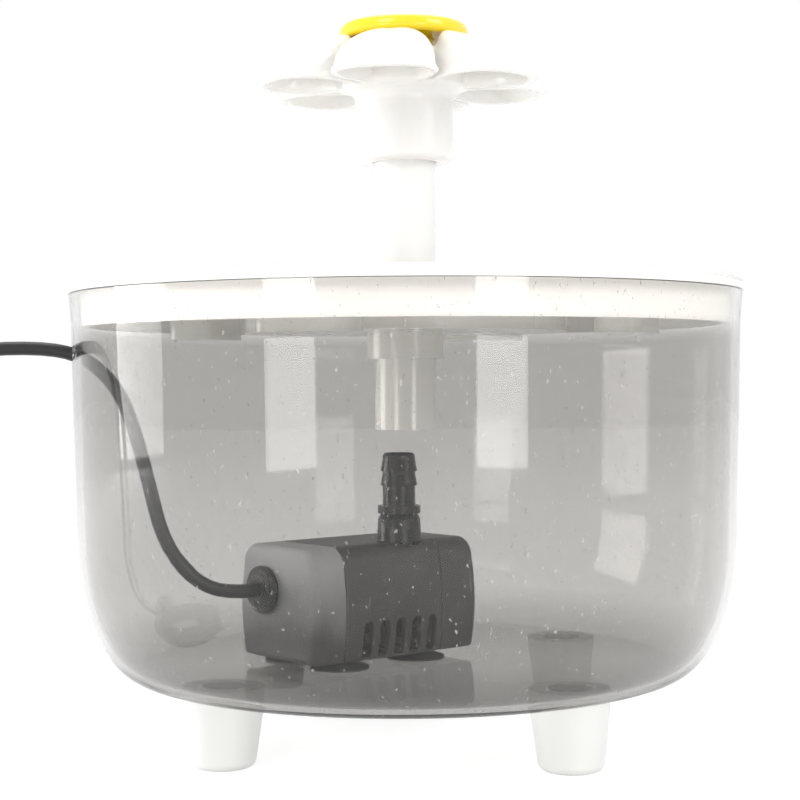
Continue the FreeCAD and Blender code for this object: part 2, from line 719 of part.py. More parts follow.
def volute_shapes():
    """Pump chamber round the impeller, with its tangential outlet and its intake spider."""
    mid = PUMP_WIDTH / 2
    start = PUMP_WALL + MOTOR_LENGTH
    chamber_r = VOLUTE_R - VOLUTE_WALL
    out_y = NOZZLE_Y - mid
    out_r = NOZZLE_COLLAR_R - 1.0
    out_top = PUMP_HEIGHT - PUMP_WALL - 0.3
    shell = along_x(Part.makeCylinder(VOLUTE_R, VOLUTE_LENGTH), start, mid, AXIS_Z)
    duct = Part.makeCylinder(out_r, out_top - AXIS_Z, V(NOZZLE_X, mid + out_y, AXIS_Z))
    shell = shell.fuse(duct)
    chamber = along_x(Part.makeCylinder(chamber_r, VOLUTE_LENGTH - VOLUTE_WALL + 1), start - 1, mid, AXIS_Z)
    duct_bore = Part.makeCylinder(out_r - VOLUTE_WALL, out_top, V(NOZZLE_X, mid + out_y, AXIS_Z))
    face = start + VOLUTE_LENGTH - VOLUTE_WALL
    intake = along_x(Part.makeCylinder(INTAKE_R, 4 * VOLUTE_WALL), face - VOLUTE_WALL, mid, AXIS_Z)
    shell = shell.cut([chamber, duct_bore, intake])
    hub = tube(BUSH_R + 1.2, BUSH_R + PUSH, 0, BUSH_LENGTH)
    arm_start = BUSH_R + SPIDER_LAP
    arm_length = INTAKE_R + SPIDER_LAP - arm_start
    arm = Part.makeBox(arm_length, SPIDER_WIDTH, VOLUTE_WALL, V(arm_start, -SPIDER_WIDTH / 2, 0))
    spider = along_x(hub.fuse(ring_of(arm, SPIDER_ARMS, 90)), face, mid, AXIS_Z)
    return shell.fuse(spider).removeSplitter()


def make_rotor():
    """Magnet and impeller on one bore, the shaft they turn on and its two bushes."""
    mid = PUMP_WIDTH / 2
    well_bottom = WELL_START + MOTOR_WALL
    volute_start = PUMP_WALL + MOTOR_LENGTH
    front_bush = volute_start + VOLUTE_LENGTH - VOLUTE_WALL
    bore = SHAFT_R + RUN
    magnet_start = well_bottom + BUSH_LENGTH + ROTOR_GAP
    disc_start = volute_start + 1.0
    magnet = along_x(tube(ROTOR_R, bore, 0, disc_start - magnet_start), magnet_start, mid, AXIS_Z)
    blade_length = IMPELLER_LENGTH - IMPELLER_DISC
    disc = tube(IMPELLER_R, bore, 0, IMPELLER_DISC)
    hub = tube(IMPELLER_HUB_R, bore, 0, IMPELLER_LENGTH)
    blade = Part.makeBox(
        IMPELLER_R - IMPELLER_HUB_R,
        BLADE_THICK,
        blade_length,
        V(IMPELLER_HUB_R - 0.4, -BLADE_THICK / 2, IMPELLER_DISC),
    )
    impeller = disc.fuse([hub] + ring_of(blade, BLADE_COUNT)).removeSplitter()
    impeller = along_x(impeller, disc_start, mid, AXIS_Z)
    shaft_start = well_bottom + 0.4
    shaft_end = front_bush + BUSH_LENGTH
    shaft = along_x(Part.makeCylinder(SHAFT_R, shaft_end - shaft_start), shaft_start, mid, AXIS_Z)
    bush = tube(BUSH_R, SHAFT_R + RUN, 0, BUSH_LENGTH)
    rear = along_x(bush, well_bottom, mid, AXIS_Z)
    front = along_x(bush, front_bush, mid, AXIS_Z)
    return magnet, impeller, shaft, rear, front


def make_nozzle():
    """Barbed outlet that pushes into the top of the pump."""
    base = PUMP_PLACE.z + PUMP_HEIGHT
    bore = NOZZLE_R - NOZZLE_WALL
    spigot_r = NOZZLE_COLLAR_R - 1.0 - VOLUTE_WALL - PUSH
    points = [
        (bore, base - NOZZLE_SPIGOT),
        (spigot_r, base - NOZZLE_SPIGOT),
        (spigot_r, base),
        (NOZZLE_COLLAR_R, base),
        (NOZZLE_COLLAR_R - 0.4, NOZZLE_RING_Z[0] - 1.6),
        (NOZZLE_R + 0.4, NOZZLE_RING_Z[0]),
        (NOZZLE_RING_R, NOZZLE_RING_Z[0]),
        (NOZZLE_RING_R, NOZZLE_RING_Z[1]),
        (NOZZLE_R - 0.2, NOZZLE_RING_Z[1]),
    ]
    for barb in reversed(BARB_Z):
        points.append((NOZZLE_R - 0.2, barb))
        points.append((NOZZLE_R + BARB_RISE, barb))
        points.append((NOZZLE_R - 0.2, barb + 3.4))
    points.append((NOZZLE_R - 0.2, NOZZLE_TOP_Z - 0.8))
    points.append((NOZZLE_R - 0.9, NOZZLE_TOP_Z))
    points.append((bore, NOZZLE_TOP_Z))
    nozzle = lathe(points)
    place = pump_point(NOZZLE_X, NOZZLE_Y, 0)
    return moved(nozzle, place.x, place.y, 0)


def make_cup():
    """Suction cup under the pump, made about Z with its stud upwards."""
    height = PUMP_PLACE.z - FLOOR_Z - FLOOR_THICK
    return lathe([
        (0, CUP_LIP),
        (CUP_R - 3.2, CUP_LIP * 0.8),
        (CUP_R - 1.6, 0),
        (CUP_R, 0),
        (CUP_R, CUP_LIP),
        (CUP_R - 2.6, height * 0.62),
        (CUP_STUD_R + 2.0, height),
        (CUP_STUD_R, height),
        (CUP_STUD_R, height + CUP_STUD_LENGTH),
        (0, height + CUP_STUD_LENGTH),
    ])


def make_gland():
    """Round boss that holds the cord where it goes into the pump."""
    out = GLAND_OUT
    gland = lathe([
        (0, 0),
        (GLAND_NOSE_R, 0),
        (GLAND_NOSE_R + 0.8, out - 2.0),
        (GLAND_R - 1.0, out - 2.6),
        (GLAND_R, out - 1.8),
        (GLAND_R, out),
        (0, out),
    ])
    neck = Part.makeCylinder(GLAND_NECK_R - PUSH, PUMP_WALL, V(0, 0, out))
    return along_x(gland.fuse(neck).removeSplitter(), -out, GLAND_Y, GLAND_Z)


def pump_point(x, y, z):
    """A point of the pump's frame in the object's frame."""
    turn = math.radians(PUMP_TURN)
    return PUMP_PLACE + V(
        x * math.cos(turn) - y * math.sin(turn),
        x * math.sin(turn) + y * math.cos(turn),
        z,
    )


def in_pump(shape):
    """A shape of the pump's frame in its place in the bowl."""
    copy = turned(shape, PUMP_TURN)
    copy.translate(PUMP_PLACE)
    return copy


def bent_path(points):
    """Straight runs joined by tangent arcs, as one wire, and the arcs' radii."""
    edges = []
    radii = []
    start = points[0]
    for before, corner, after in zip(points, points[1:], points[2:]):
        back = before - corner
        ahead = after - corner
        turn = math.pi - back.getAngle(ahead)
        inset = 0.45 * min(back.Length, ahead.Length)
        radii.append(inset / math.tan(turn / 2))
        enter = corner + back.normalize() * inset
        leave = corner + ahead.normalize() * inset
        inward = (back + ahead).normalize()
        middle = corner + inward * radii[-1] * (1 / math.cos(turn / 2) - 1)
        edges.append(Part.LineSegment(start, enter).toShape())
        edges.append(Part.Arc(enter, middle, leave).toShape())
        start = leave
    edges.append(Part.LineSegment(start, points[-1]).toShape())
    return Part.Wire(edges), radii


def swept(wire, start, direction):
    """Round tube of the cord's size along a wire."""
    section = Part.Wire(Part.Circle(start, direction, CORD_R).toShape())
    return wire.makePipeShell([section], True, False)


def arc_from(start, tangent, end):
    """Arc that leaves a point along a tangent and ends at another point."""
    chord = end - start
    across = tangent.cross(chord).cross(tangent).normalize()
    radius = chord.Length ** 2 / (2 * chord.dot(across))
    centre = start + across * radius
    middle = centre + (start + end - centre * 2).normalize() * radius
    return Part.Arc(start, middle, end).toShape()


def biarc(start, start_way, end, end_way):
    """Two arcs that join two points along their tangents."""
    chord = end - start
    ways = start_way + end_way
    spare = 2 * (1 - start_way.dot(end_way))
    along = chord.dot(ways)
    reach = (math.sqrt(along ** 2 + spare * chord.dot(chord)) - along) / spare
    joint = (start + start_way * reach + end - end_way * reach) * 0.5
    first = arc_from(start, start_way, joint)
    second = arc_from(end, end_way * -1, joint)
    return [first, second]


def coil_station(turns):
    """Point and direction of the coil after a number of turns from its outer end."""
    angle = math.pi + 2 * math.pi * turns
    half = COIL_TURNS
    last = 2 * COIL_TURNS
    inner = COIL_R - COIL_PITCH * half
    rate = COIL_PITCH / (2 * math.pi)
    climb = 0.0
    if turns <= half:
        radius = inner + COIL_PITCH * (half - turns)
        slope = -rate
    elif turns <= last:
        radius = inner + COIL_PITCH * (turns - half)
        slope = rate
    else:
        swing = 0.25 - abs(turns - last - 0.25)
        radius = COIL_R + COIL_PITCH * max(swing, 0.0)
        slope = rate if turns < last + 0.25 else -rate
    if turns in (half, last + 0.25):
        slope = 0.0
    share = min(max((turns - half) * 2 + 0.5, 0.0), 1.0)
    height = COIL_LAYER * (1 - math.cos(math.pi * share)) / 2
    if 0 < share < 1:
        climb += COIL_LAYER * math.sin(math.pi * share) / 2
    share = min(max((turns - last) * 2, 0.0), 1.0)
    height += COIL_END_CLIMB * (1 - math.cos(math.pi * share)) / 2
    if 0 < share < 1:
        climb += COIL_END_CLIMB * math.sin(math.pi * share) / 2
    if turns > last + 0.5:
        drawn = (turns - last - 0.5) / 0.25
        radius = COIL_R - (COIL_R - COIL_END_R) * drawn
        slope = -(COIL_R - COIL_END_R) / (math.pi / 2)
    out = V(math.cos(angle), math.sin(angle), 0)
    round_way = V(-math.sin(angle), math.cos(angle), 0)
    point = V(COIL_X, COIL_Y, COIL_Z + height) + out * radius
    way = (round_way * radius + out * slope + UP * climb).normalize()
    return point, way


def coil_path():
    """The coil's wire, its stations and the points that its gap is measured on."""
    quarters = int(round(4 * (2 * COIL_TURNS + 0.75)))
    stations = [coil_station(i / 4) for i in range(quarters + 1)]
    stations[0] = (stations[0][0], V(0, -1, 0))
    first, first_way = stations[0]
    last, last_way = stations[-1]
    last_way = V(last_way.x, last_way.y, 0).normalize()
    stations[-1] = (last, last_way)
    edges = [Part.LineSegment(first - first_way * 2 * CORD_R, first).toShape()]
    for (a, a_way), (b, b_way) in zip(stations, stations[1:]):
        edges += biarc(a, a_way, b, b_way)
    end = last + last_way * 2 * CORD_R
    edges.append(Part.LineSegment(last, end).toShape())
    return Part.Wire(edges), first - first_way * 2 * CORD_R, end, last_way


def least_gap(wire):
    """Least gap of the coil's tube to itself, on points along its line."""
    points = wire.discretize(Distance=GAP_STEP)
    skip = int(6 * CORD_R / GAP_STEP) + 1
    least = 1e9
    for i, point in enumerate(points):
        for other in points[i + skip:]:
            least = min(least, point.distanceToPoint(other))
    return least - 2 * CORD_R


def make_tie():
    """Flat band round the bundle of turns."""
    outer_r = COIL_R + CORD_R + TIE_GAP
    inner_r = COIL_R - COIL_PITCH * COIL_TURNS - CORD_R - TIE_GAP
    low = COIL_Z - CORD_R - TIE_GAP
    high = COIL_Z + COIL_LAYER + CORD_R + TIE_GAP
    thick = TIE_THICK
    inside = Part.makeBox(outer_r - inner_r, TIE_WIDTH + 2, high - low, V(inner_r, -TIE_WIDTH / 2 - 1, low))
    band = Part.makeBox(
        outer_r - inner_r + 2 * thick,
        TIE_WIDTH,
        high - low + 2 * thick,
        V(inner_r - thick, -TIE_WIDTH / 2, low - thick),
    )
    return moved(turned(band.cut(inside), TIE_TURN), COIL_X, COIL_Y, 0)


def make_plug(end, way):
    """Moulded grip with its strain relief, the metal shell and the tongue inside it."""
    relief = Part.makeCone(CORD_R + 0.6, RELIEF_R, RELIEF_LENGTH)
    relief = along_x(relief, 0, 0, 0)
    grip = rounded_box(PLUG_HEIGHT, PLUG_WIDTH, PLUG_LENGTH, PLUG_CORNER_R)
    grip = along_x(grip, RELIEF_LENGTH, 0, 0)
    shell_start = RELIEF_LENGTH + PLUG_LENGTH
    low = -SHELL_HEIGHT / 2
    shell = Part.makeBox(SHELL_LENGTH, SHELL_WIDTH, SHELL_HEIGHT, V(shell_start, -SHELL_WIDTH / 2, low))
    inside = Part.makeBox(
        SHELL_LENGTH,
        SHELL_WIDTH - 2 * SHELL_WALL,
        SHELL_HEIGHT - 2 * SHELL_WALL,
        V(shell_start + SHELL_BACK, -SHELL_WIDTH / 2 + SHELL_WALL, low + SHELL_WALL),
    )
    inner_width = SHELL_WIDTH - 2 * SHELL_WALL - 2 * PUSH
    tongue = Part.makeBox(
        SHELL_LENGTH - SHELL_BACK - TONGUE_SHORT,
        inner_width,
        TONGUE_THICK,
        V(shell_start + SHELL_BACK, -inner_width / 2, low + SHELL_WALL + PUSH),
    )
    pieces = [relief.fuse(grip).removeSplitter(), shell.cut(inside), tongue]
    heading = math.degrees(math.atan2(way.y, way.x))
    return [moved(turned(piece, heading), end.x, end.y, end.z) for piece in pieces]


def make_cord():
    """The lead from the pump to the coil, the coil, its tie and the plug."""
    gland = pump_point(-GLAND_OUT, GLAND_Y, GLAND_Z)
    coil_wire, coil_start, coil_end, coil_way = coil_path()
    route = [gland] + CORD_ROUTE + [coil_start]
    lead_wire, radii = bent_path(route)
    lead = swept(lead_wire, gland, route[1] - gland)
    coil = swept(coil_wire, coil_start, V(0, -1, 0))
    print("cord bend radii", [round(r, 1) for r in radii], "least wanted", SHORTEST_BEND * 2 * CORD_R)
    runs = [round(a.distanceToPoint(b), 1) for a, b in zip(route, route[1:])]
    print("cord runs", runs)
    for name, solid, wire in (("lead", lead, lead_wire), ("coil", coil, coil_wire)):
        ideal = math.pi * CORD_R ** 2 * wire.Length
        print(name, "length", round(wire.Length, 1), "volume over ideal", round(solid.Volume / ideal, 4))
    print("whole cord", round(lead_wire.Length + coil_wire.Length, 1))
    print("coil gap", round(least_gap(coil_wire), 2))
    grip, shell, tongue = make_plug(coil_end, coil_way)
    return {
        "cord_lead": lead,
        "cord_coil": coil,
        "cord_tie": make_tie(),
        "plug_grip": grip,
        "plug_shell": shell,
        "plug_tongue": tongue,
    }


def make_pump():
    """Every piece of the pump, in its place."""
    core, winding = make_stator()
    magnet, impeller, shaft, rear, front = make_rotor()
    pieces = {
        "pump_end_cap": make_end_cap(),
        "pump_body": make_pump_body(),
        "pump_front_cover": make_front_cover(),
        "motor_housing": make_motor_housing(),
        "stator_core": core,
        "stator_winding": winding,
        "volute": volute_shapes(),
        "rotor_magnet": magnet,
        "impeller": impeller,
        "rotor_shaft": shaft,
        "rear_bush": rear,
        "front_bush": front,
        "cord_gland": make_gland(),
    }
    placed = {name: in_pump(shape) for name, shape in pieces.items()}
    placed["pump_nozzle"] = make_nozzle()
    cup = make_cup()
    names = ("near_left", "far_left", "near_right", "far_right")
    places = [(x, y) for x in CUP_XS for y in CUP_YS]
    for name, (x, y) in zip(names, places):
        place = pump_point(x, y, 0)
        placed["suction_cup_" + name] = moved(cup, place.x, place.y, FLOOR_Z + FLOOR_THICK)
    return placed


def main():
    """Make every piece and write one file for each."""
    nodes = {"bowl": make_bowl()}
    for name, centre in zip(("front_left", "front_right", "back_right", "back_left"), foot_centres()):
        nodes["foot_" + name] = make_foot(centre)
    nodes["lid"] = make_lid()
    nodes["filter_grille"], nodes["filter_pad"] = make_filter()
    nodes["stem_tube"] = make_stem()
    nodes["flower"] = make_flower()
    nodes["pistil_cap"] = make_pistil()
    nodes.update(make_pump())
    nodes.update(make_cord())
    os.makedirs("parts", exist_ok=True)
    for name, shape in nodes.items():
        solids = shape.Solids
        print(f"{name:24s} solids {len(solids)} valid {shape.isValid()} volume {shape.Volume:10.1f}")
        solid = solids[0] if len(solids) == 1 else Part.makeCompound(solids)
        solid.exportStep(os.path.join("parts", name + ".step"))


main()
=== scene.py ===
# %% [markdown]
# A pet's drinking fountain: a clear grey bowl on four white feet, a white lid with a tube and a flower,
# and a small dark pump inside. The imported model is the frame: its pieces keep their shape and place, and
# this script gives them their finish, swaps a few hard-edged ones for softened copies and lays the lead.

# %% Load the frame
import json
import math
import bmesh
import bpy
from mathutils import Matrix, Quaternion, Vector


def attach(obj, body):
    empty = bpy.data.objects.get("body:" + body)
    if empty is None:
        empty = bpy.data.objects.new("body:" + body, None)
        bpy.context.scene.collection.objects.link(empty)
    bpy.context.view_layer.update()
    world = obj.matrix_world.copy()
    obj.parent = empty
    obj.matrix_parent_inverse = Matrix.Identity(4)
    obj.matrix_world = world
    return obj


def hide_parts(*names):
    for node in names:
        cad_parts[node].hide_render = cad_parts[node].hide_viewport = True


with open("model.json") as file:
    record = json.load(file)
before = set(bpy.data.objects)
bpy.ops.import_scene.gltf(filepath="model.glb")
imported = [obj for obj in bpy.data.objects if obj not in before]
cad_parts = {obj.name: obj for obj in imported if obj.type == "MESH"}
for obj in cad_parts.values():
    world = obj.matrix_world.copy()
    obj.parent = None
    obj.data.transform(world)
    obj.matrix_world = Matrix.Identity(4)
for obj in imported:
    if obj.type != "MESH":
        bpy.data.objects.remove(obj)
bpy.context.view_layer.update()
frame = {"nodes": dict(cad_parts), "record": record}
nodes = frame["nodes"]
MM = 0.001

# %% [markdown]
# The finishes on this fountain follow formulas: noise makes the dust, and height makes the worn cap paler.
# Such formulas could be wired node by node, but they read best as plain arithmetic. A small class wraps a
# socket, so that `1 - mask` or `noise * 0.2` adds the Math node by itself.


# %% Shader arithmetic
class Value:
    """A number socket that takes part in Python arithmetic."""

    def __init__(self, tree, socket):
        self.tree = tree
        self.socket = socket

    def math(self, operation, first, second=None, clamp=False):
        inputs = {0: first} if second is None else {0: first, 1: second}
        node = self.tree.node("ShaderNodeMath", {"operation": operation, "use_clamp": clamp}, inputs)
        return Value(self.tree, node.outputs[0])

    def __add__(self, other):
        return self.math("ADD", self, other)

    def __sub__(self, other):
        return self.math("SUBTRACT", self, other)

    def __rsub__(self, other):
        return self.math("SUBTRACT", other, self)

    def __mul__(self, other):
        return self.math("MULTIPLY", self, other)

    def __truediv__(self, other):
        return self.math("DIVIDE", self, other)

    def clamped(self):
        return self.math("ADD", self, 0.0, clamp=True)

    __radd__ = __add__
    __rmul__ = __mul__


def rise(value, band):
    """0 at the foot of a band of values and 1 at its top, going on past both."""
    foot, top = band
    return (value - foot) / (top - foot)


# %% [markdown]
# Everything else in a node tree comes from one method, whether the tree is a material's, the world's or
# a Geometry Nodes group's. It takes the node's type, its settings and what goes into its sockets.


# %% One method for every node
class Graph:
    """A node tree of any kind."""

    def __init__(self, tree):
        self.nodes = tree.nodes
        self.links = tree.links
        self.nodes.clear()

    def node(self, kind, settings=None, inputs=None):
        """A node of a type, its settings first, then the values or links of its inputs."""
        made = self.nodes.new(kind)
        for key, value in (settings or {}).items():
            setattr(made, key, value)
        for key, value in (inputs or {}).items():
            if isinstance(value, Value):
                self.links.new(value.socket, made.inputs[key])
            elif isinstance(value, bpy.types.NodeSocket):
                self.links.new(value, made.inputs[key])
            else:
                made.inputs[key].default_value = value
        return made

    def seen(self):
        """1 for what is seen straight, in a mirror or through the bowl, and 0 for what only lights."""
        path = self.node("ShaderNodeLightPath").outputs
        rays = Value(self, path["Is Camera Ray"]) + Value(self, path["Is Glossy Ray"])
        return (rays + Value(self, path["Is Transmission Ray"])).clamped()


class Finish(Graph):
    """One material and its nodes."""

    def __init__(self, name):
        self.material = bpy.data.materials.new(name)
        self.material.use_nodes = True
        super().__init__(self.material.node_tree)
        self.output = self.node("ShaderNodeOutputMaterial")
        self.place = self.node("ShaderNodeTexCoord").outputs["Object"]

    def stretched(self, scale):
        """The place on the piece, scaled along each axis, so that noise read there is stretched."""
        return self.node("ShaderNodeMapping", None, {"Vector": self.place, "Scale": scale}).outputs[0]

    def height(self):
        """Height above the ground, in metres."""
        split = self.node("ShaderNodeSeparateXYZ", None, {0: self.place})
        return Value(self, split.outputs["Z"])

    def noise(self, size, detail=2.0, place=None):
        """Noise whose blotches are about a size across, in metres."""
        inputs = {"Vector": place or self.place, "Scale": 1.0 / size, "Detail": detail}
        return Value(self, self.node("ShaderNodeTexNoise", None, inputs).outputs["Fac"])

    def mix(self, share, low, high):
        """Colour between two colours."""
        made = self.node("ShaderNodeMix", {"data_type": "RGBA"}, {0: share, 6: low, 7: high})
        return made.outputs[2]

    def bump(self, height, depth):
        """Normal from a height between 0 and 1, as deep as a depth in metres."""
        inputs = {"Height": height, "Distance": depth, "Strength": 1.0}
        return self.node("ShaderNodeBump", None, inputs).outputs["Normal"]

    def surface(self, **sockets):
        """The Principled shader with its sockets; words are joined by underscores in the names."""
        inputs = {key.replace("_", " "): value for key, value in sockets.items()}
        return self.node("ShaderNodeBsdfPrincipled", None, inputs).outputs[0]

    def blend(self, share, first, second):
        """One shader where the share is 0 and another where it is 1."""
        return self.node("ShaderNodeMixShader", None, {0: share, 1: first, 2: second}).outputs[0]

    def done(self, shader):
        """Link the shader to the output and give the material."""
        self.links.new(shader, self.output.inputs["Surface"])
        return self.material


def shade(colour, factor=1.0):
    """A colour, darker or lighter by a factor, with its alpha."""
    return tuple(min(1.0, channel * factor) for channel in colour[:3]) + (1.0,)


# %% [markdown]
# Moulded plastic is never one flat colour. It has a faint drift in tone, patches that are a little more
# or less polished, and a fine grain or slow waves from the mould. All of it is small, so that it shows
# in a highlight and not as a pattern.

# %% Moulded plastic
PATCH_SIZE = 30 * MM
GRAIN_SIZE = 0.4 * MM
GRAIN_HEIGHT = 0.004 * MM
WAVE_SIZE = 12 * MM
WAVE_HEIGHT = 0.02 * MM


def moulded(name, colour, rough, grain=GRAIN_SIZE, depth=GRAIN_HEIGHT, wave=0.0, drift=0.04, **constant):
    """Moulded plastic or rubber with drift in tone, uneven polish, grain and slow mould waves."""
    finish = Finish(name)
    patches = finish.noise(PATCH_SIZE, 3.0)
    fine = finish.noise(grain, 2.0)
    tone = finish.mix(patches, shade(colour, 1.0 - drift), shade(colour, 1.0 + drift))
    polish = (patches * 0.5 + fine * 0.5 - 0.5) * 0.25 * rough + rough
    height = fine
    if wave:
        height = fine * (depth / wave) + finish.noise(WAVE_SIZE, 1.0)
    normal = finish.bump(height, max(wave, depth))
    shader = finish.surface(Base_Color=tone, Roughness=polish.clamped(), Normal=normal, **constant)
    return finish.done(shader)


# %% [markdown]
# The lid, its grille and the tube are glossy white plastic, the flower is a little warmer, and the feet
# are softer and milkier. Plain white would look like paint. Light goes a few millimetres into such
# plastic, so a little scattering carries it through, and a thin coat gives the shine. The flower's
# yellow middle lets no light in, so it has the coat alone.

# %% White and yellow mouldings
WHITE = (0.88, 0.87, 0.845)
FLOWER_WHITE = (0.89, 0.875, 0.85)
MILK = (0.90, 0.90, 0.875)
YELLOW = (0.98, 0.72, 0.012)

white_gloss = moulded(
    "white_gloss", WHITE, 0.16, wave=WAVE_HEIGHT, drift=0.012,
    Subsurface_Weight=0.12, Subsurface_Radius=(0.004, 0.0035, 0.003), Coat_Weight=0.25, Coat_Roughness=0.08,
)
flower_white = moulded(
    "flower_white", FLOWER_WHITE, 0.2, wave=WAVE_HEIGHT, drift=0.012,
    Subsurface_Weight=0.25, Subsurface_Radius=(0.006, 0.0045, 0.0035), Coat_Weight=0.2, Coat_Roughness=0.1,
)
foot_white = moulded(
    "foot_white", MILK, 0.32, wave=WAVE_HEIGHT, drift=0.015,
    Subsurface_Weight=0.35, Subsurface_Radius=(0.006, 0.006, 0.005),
)
yellow_gloss = moulded(
    "yellow_gloss", YELLOW, 0.2, wave=WAVE_HEIGHT, drift=0.02, Coat_Weight=0.3, Coat_Roughness=0.08,
)
print("white and yellow finishes made")

# %% [markdown]
# The pump is dark plastic from a spark-eroded mould, which leaves a fine matt grain, and some dry dust
# lies on it. The grain is only a few thousandths of a millimetre high: a real mould's is no more, and a
# stronger bump turns the plastic into sandpaper.

# %% Dark plastic of the pump
SPARK_SIZE = 0.5 * MM
SPARK_HEIGHT = 0.0025 * MM
DUST_SIZE = 14 * MM
PUMP_GREY = (0.042, 0.040, 0.040)
BLACK = (0.012, 0.012, 0.013)


def worn(name, colour, rough, dust_colour, dust_share, **constant):
    """Dark moulded plastic with a fine spark-eroded grain and a little dry dust."""
    finish = Finish(name)
    fine = finish.noise(SPARK_SIZE, 3.0)
    cloud = finish.noise(DUST_SIZE, 4.0)
    dust = ((cloud - 0.5) * 3.0 + fine * 0.6).clamped() * dust_share
    tone = finish.mix(dust, shade(colour), shade(dust_colour))
    polish = (rough + dust * 0.2 + (fine - 0.5) * 0.1).clamped()
    normal = finish.bump(fine, SPARK_HEIGHT)
    shader = finish.surface(Base_Color=tone, Roughness=polish, Normal=normal, **constant)
    return finish.done(shader)


pump_grey = worn("pump_grey", PUMP_GREY, 0.42, (0.13, 0.125, 0.12), 0.2, Specular_IOR_Level=0.6)
pump_black = worn("pump_black", BLACK, 0.25, (0.05, 0.048, 0.045), 0.15)
cup_rubber = worn("cup_rubber", BLACK, 0.55, (0.10, 0.10, 0.095), 0.3)
print("dark finishes made")

# %% [markdown]
# The pump's end cap is the same plastic, with a painted sheen: it grows paler towards its top, standing in
# for the soft light it mirrors from the left. Height gives the change from dark to pale, and noise keeps
# its border from being a straight line.

# %% End cap with painted sheen
# The paler share of the end cap is a painted sheen.
CAP_SHEEN_BAND = (30 * MM, 54 * MM)  # heights between which the end cap grows paler
CAP_SHEEN_PALE = (0.34, 0.335, 0.34)


def sheen_cap_finish():
    """The pump's dark plastic, with a painted sheen that grows paler towards the top of its end cap."""
    finish = Finish("pump_cap_sheen")
    fine = finish.noise(SPARK_SIZE, 3.0)
    cloud = finish.noise(DUST_SIZE, 4.0)
    # Painted sheen: the share of pale colour that stands in for light mirrored from the left.
    sheen_share = (rise(finish.height(), CAP_SHEEN_BAND) + (cloud - 0.5) * 0.8).clamped()
    tone = finish.mix(sheen_share, shade(PUMP_GREY, 1.3), shade(CAP_SHEEN_PALE))
    polish = (sheen_share * 0.15 + (fine - 0.5) * 0.1 + 0.42).clamped()
    normal = finish.bump(fine, SPARK_HEIGHT)
    return finish.done(finish.surface(Base_Color=tone, Roughness=polish, Normal=normal))


pump_cap_sheen = sheen_cap_finish()

# %% [markdown]
# The rest of the small parts need no formula of their own. The lead's jacket and the moulded inserts use
# the moulded plastic, the magnet is a dull sintered grey, and the shaft is polished ceramic.

# %% Small parts
cord_jacket = moulded("cord_jacket", BLACK, 0.38, grain=0.7 * MM, depth=0.01 * MM)
impeller_white = moulded("impeller_white", (0.80, 0.79, 0.76), 0.35)
ferrite = moulded("ferrite", (0.05, 0.05, 0.055), 0.6, grain=0.3 * MM, depth=0.02 * MM)
ceramic = moulded("ceramic", (0.85, 0.85, 0.83), 0.12)
insert_white = moulded("insert_white", (0.86, 0.86, 0.84), 0.4)

# %% [markdown]
# The bowl is clear polystyrene with a smoke-grey tint. It could be a flat grey film, but real glass
# shading shows its rim, its thick bottom edge and what it mirrors. Rays from lamps pass straight through,
# hardly dimmed, so that the pump inside stays lit. The tint deepens in the thick floor, partly as the
# plastic's own deeper colour there and partly as painted shade for the dark refraction at its bottom edge,
# and it fades in the thin rim. Dust and hair-fine scratches lie on it all as a thin grey film.

# %% Clear bowl
BOWL_TINT = (0.62, 0.611, 0.597)
BOWL_LAMP_TINT = (0.98, 0.98, 0.975)
# The thick floor's deeper tint is partly the plastic's own and partly painted shade for its dark
# refraction.
FLOOR_TINT_AND_SHADE_SHARE = 0.66
FLOOR_TINT_AND_SHADE_BAND = (21.5 * MM, 34 * MM)  # heights between which the thick floor's tint fades out
RIM_TINT_SHARE = 1.45
RIM_BAND = (118 * MM, 123 * MM)  # heights between which the tint grows paler towards the thin rim
SPECK_SIZE = 1.1 * MM
HAIR_SIZE = 0.7 * MM
CLOUD_SIZE = 30 * MM
RIPPLE_SIZE = 25 * MM
RIPPLE_HEIGHT = 0.02 * MM
DUST_COLOUR = (0.62, 0.62, 0.60)


def dust_film(finish, cloud):
    """How much of the bowl is hidden by specks, scratches and haze, from 0 to 1."""
    specks = finish.noise(SPECK_SIZE, 2.0, finish.stretched((1, 1, 0.5)))
    hairs = finish.noise(HAIR_SIZE, 1.0, finish.stretched((1, 1, 0.06)))
    dust = ((specks - 0.69) * 18.0).clamped() * 0.5
    scratches = ((hairs - 0.7) * 10.0).clamped() * 0.10
    return (dust + scratches + cloud * 0.012 + 0.002).clamped()


def bowl_tint_and_shade(finish, cloud):
    """Colour of the clear plastic: deep in the floor, partly as painted shade, pale in the rim."""
    height = finish.height()
    wall = finish.mix(cloud, shade(BOWL_TINT, 0.98), shade(BOWL_TINT, 1.02))
    wall = finish.mix(rise(height, RIM_BAND).clamped(), wall, shade(BOWL_TINT, RIM_TINT_SHARE))
    # Darker towards the floor: partly the plastic's deeper tint and partly painted shade.
    return finish.mix(rise(height, FLOOR_TINT_AND_SHADE_BAND).clamped(), shade(BOWL_TINT, FLOOR_TINT_AND_SHADE_SHARE), wall)


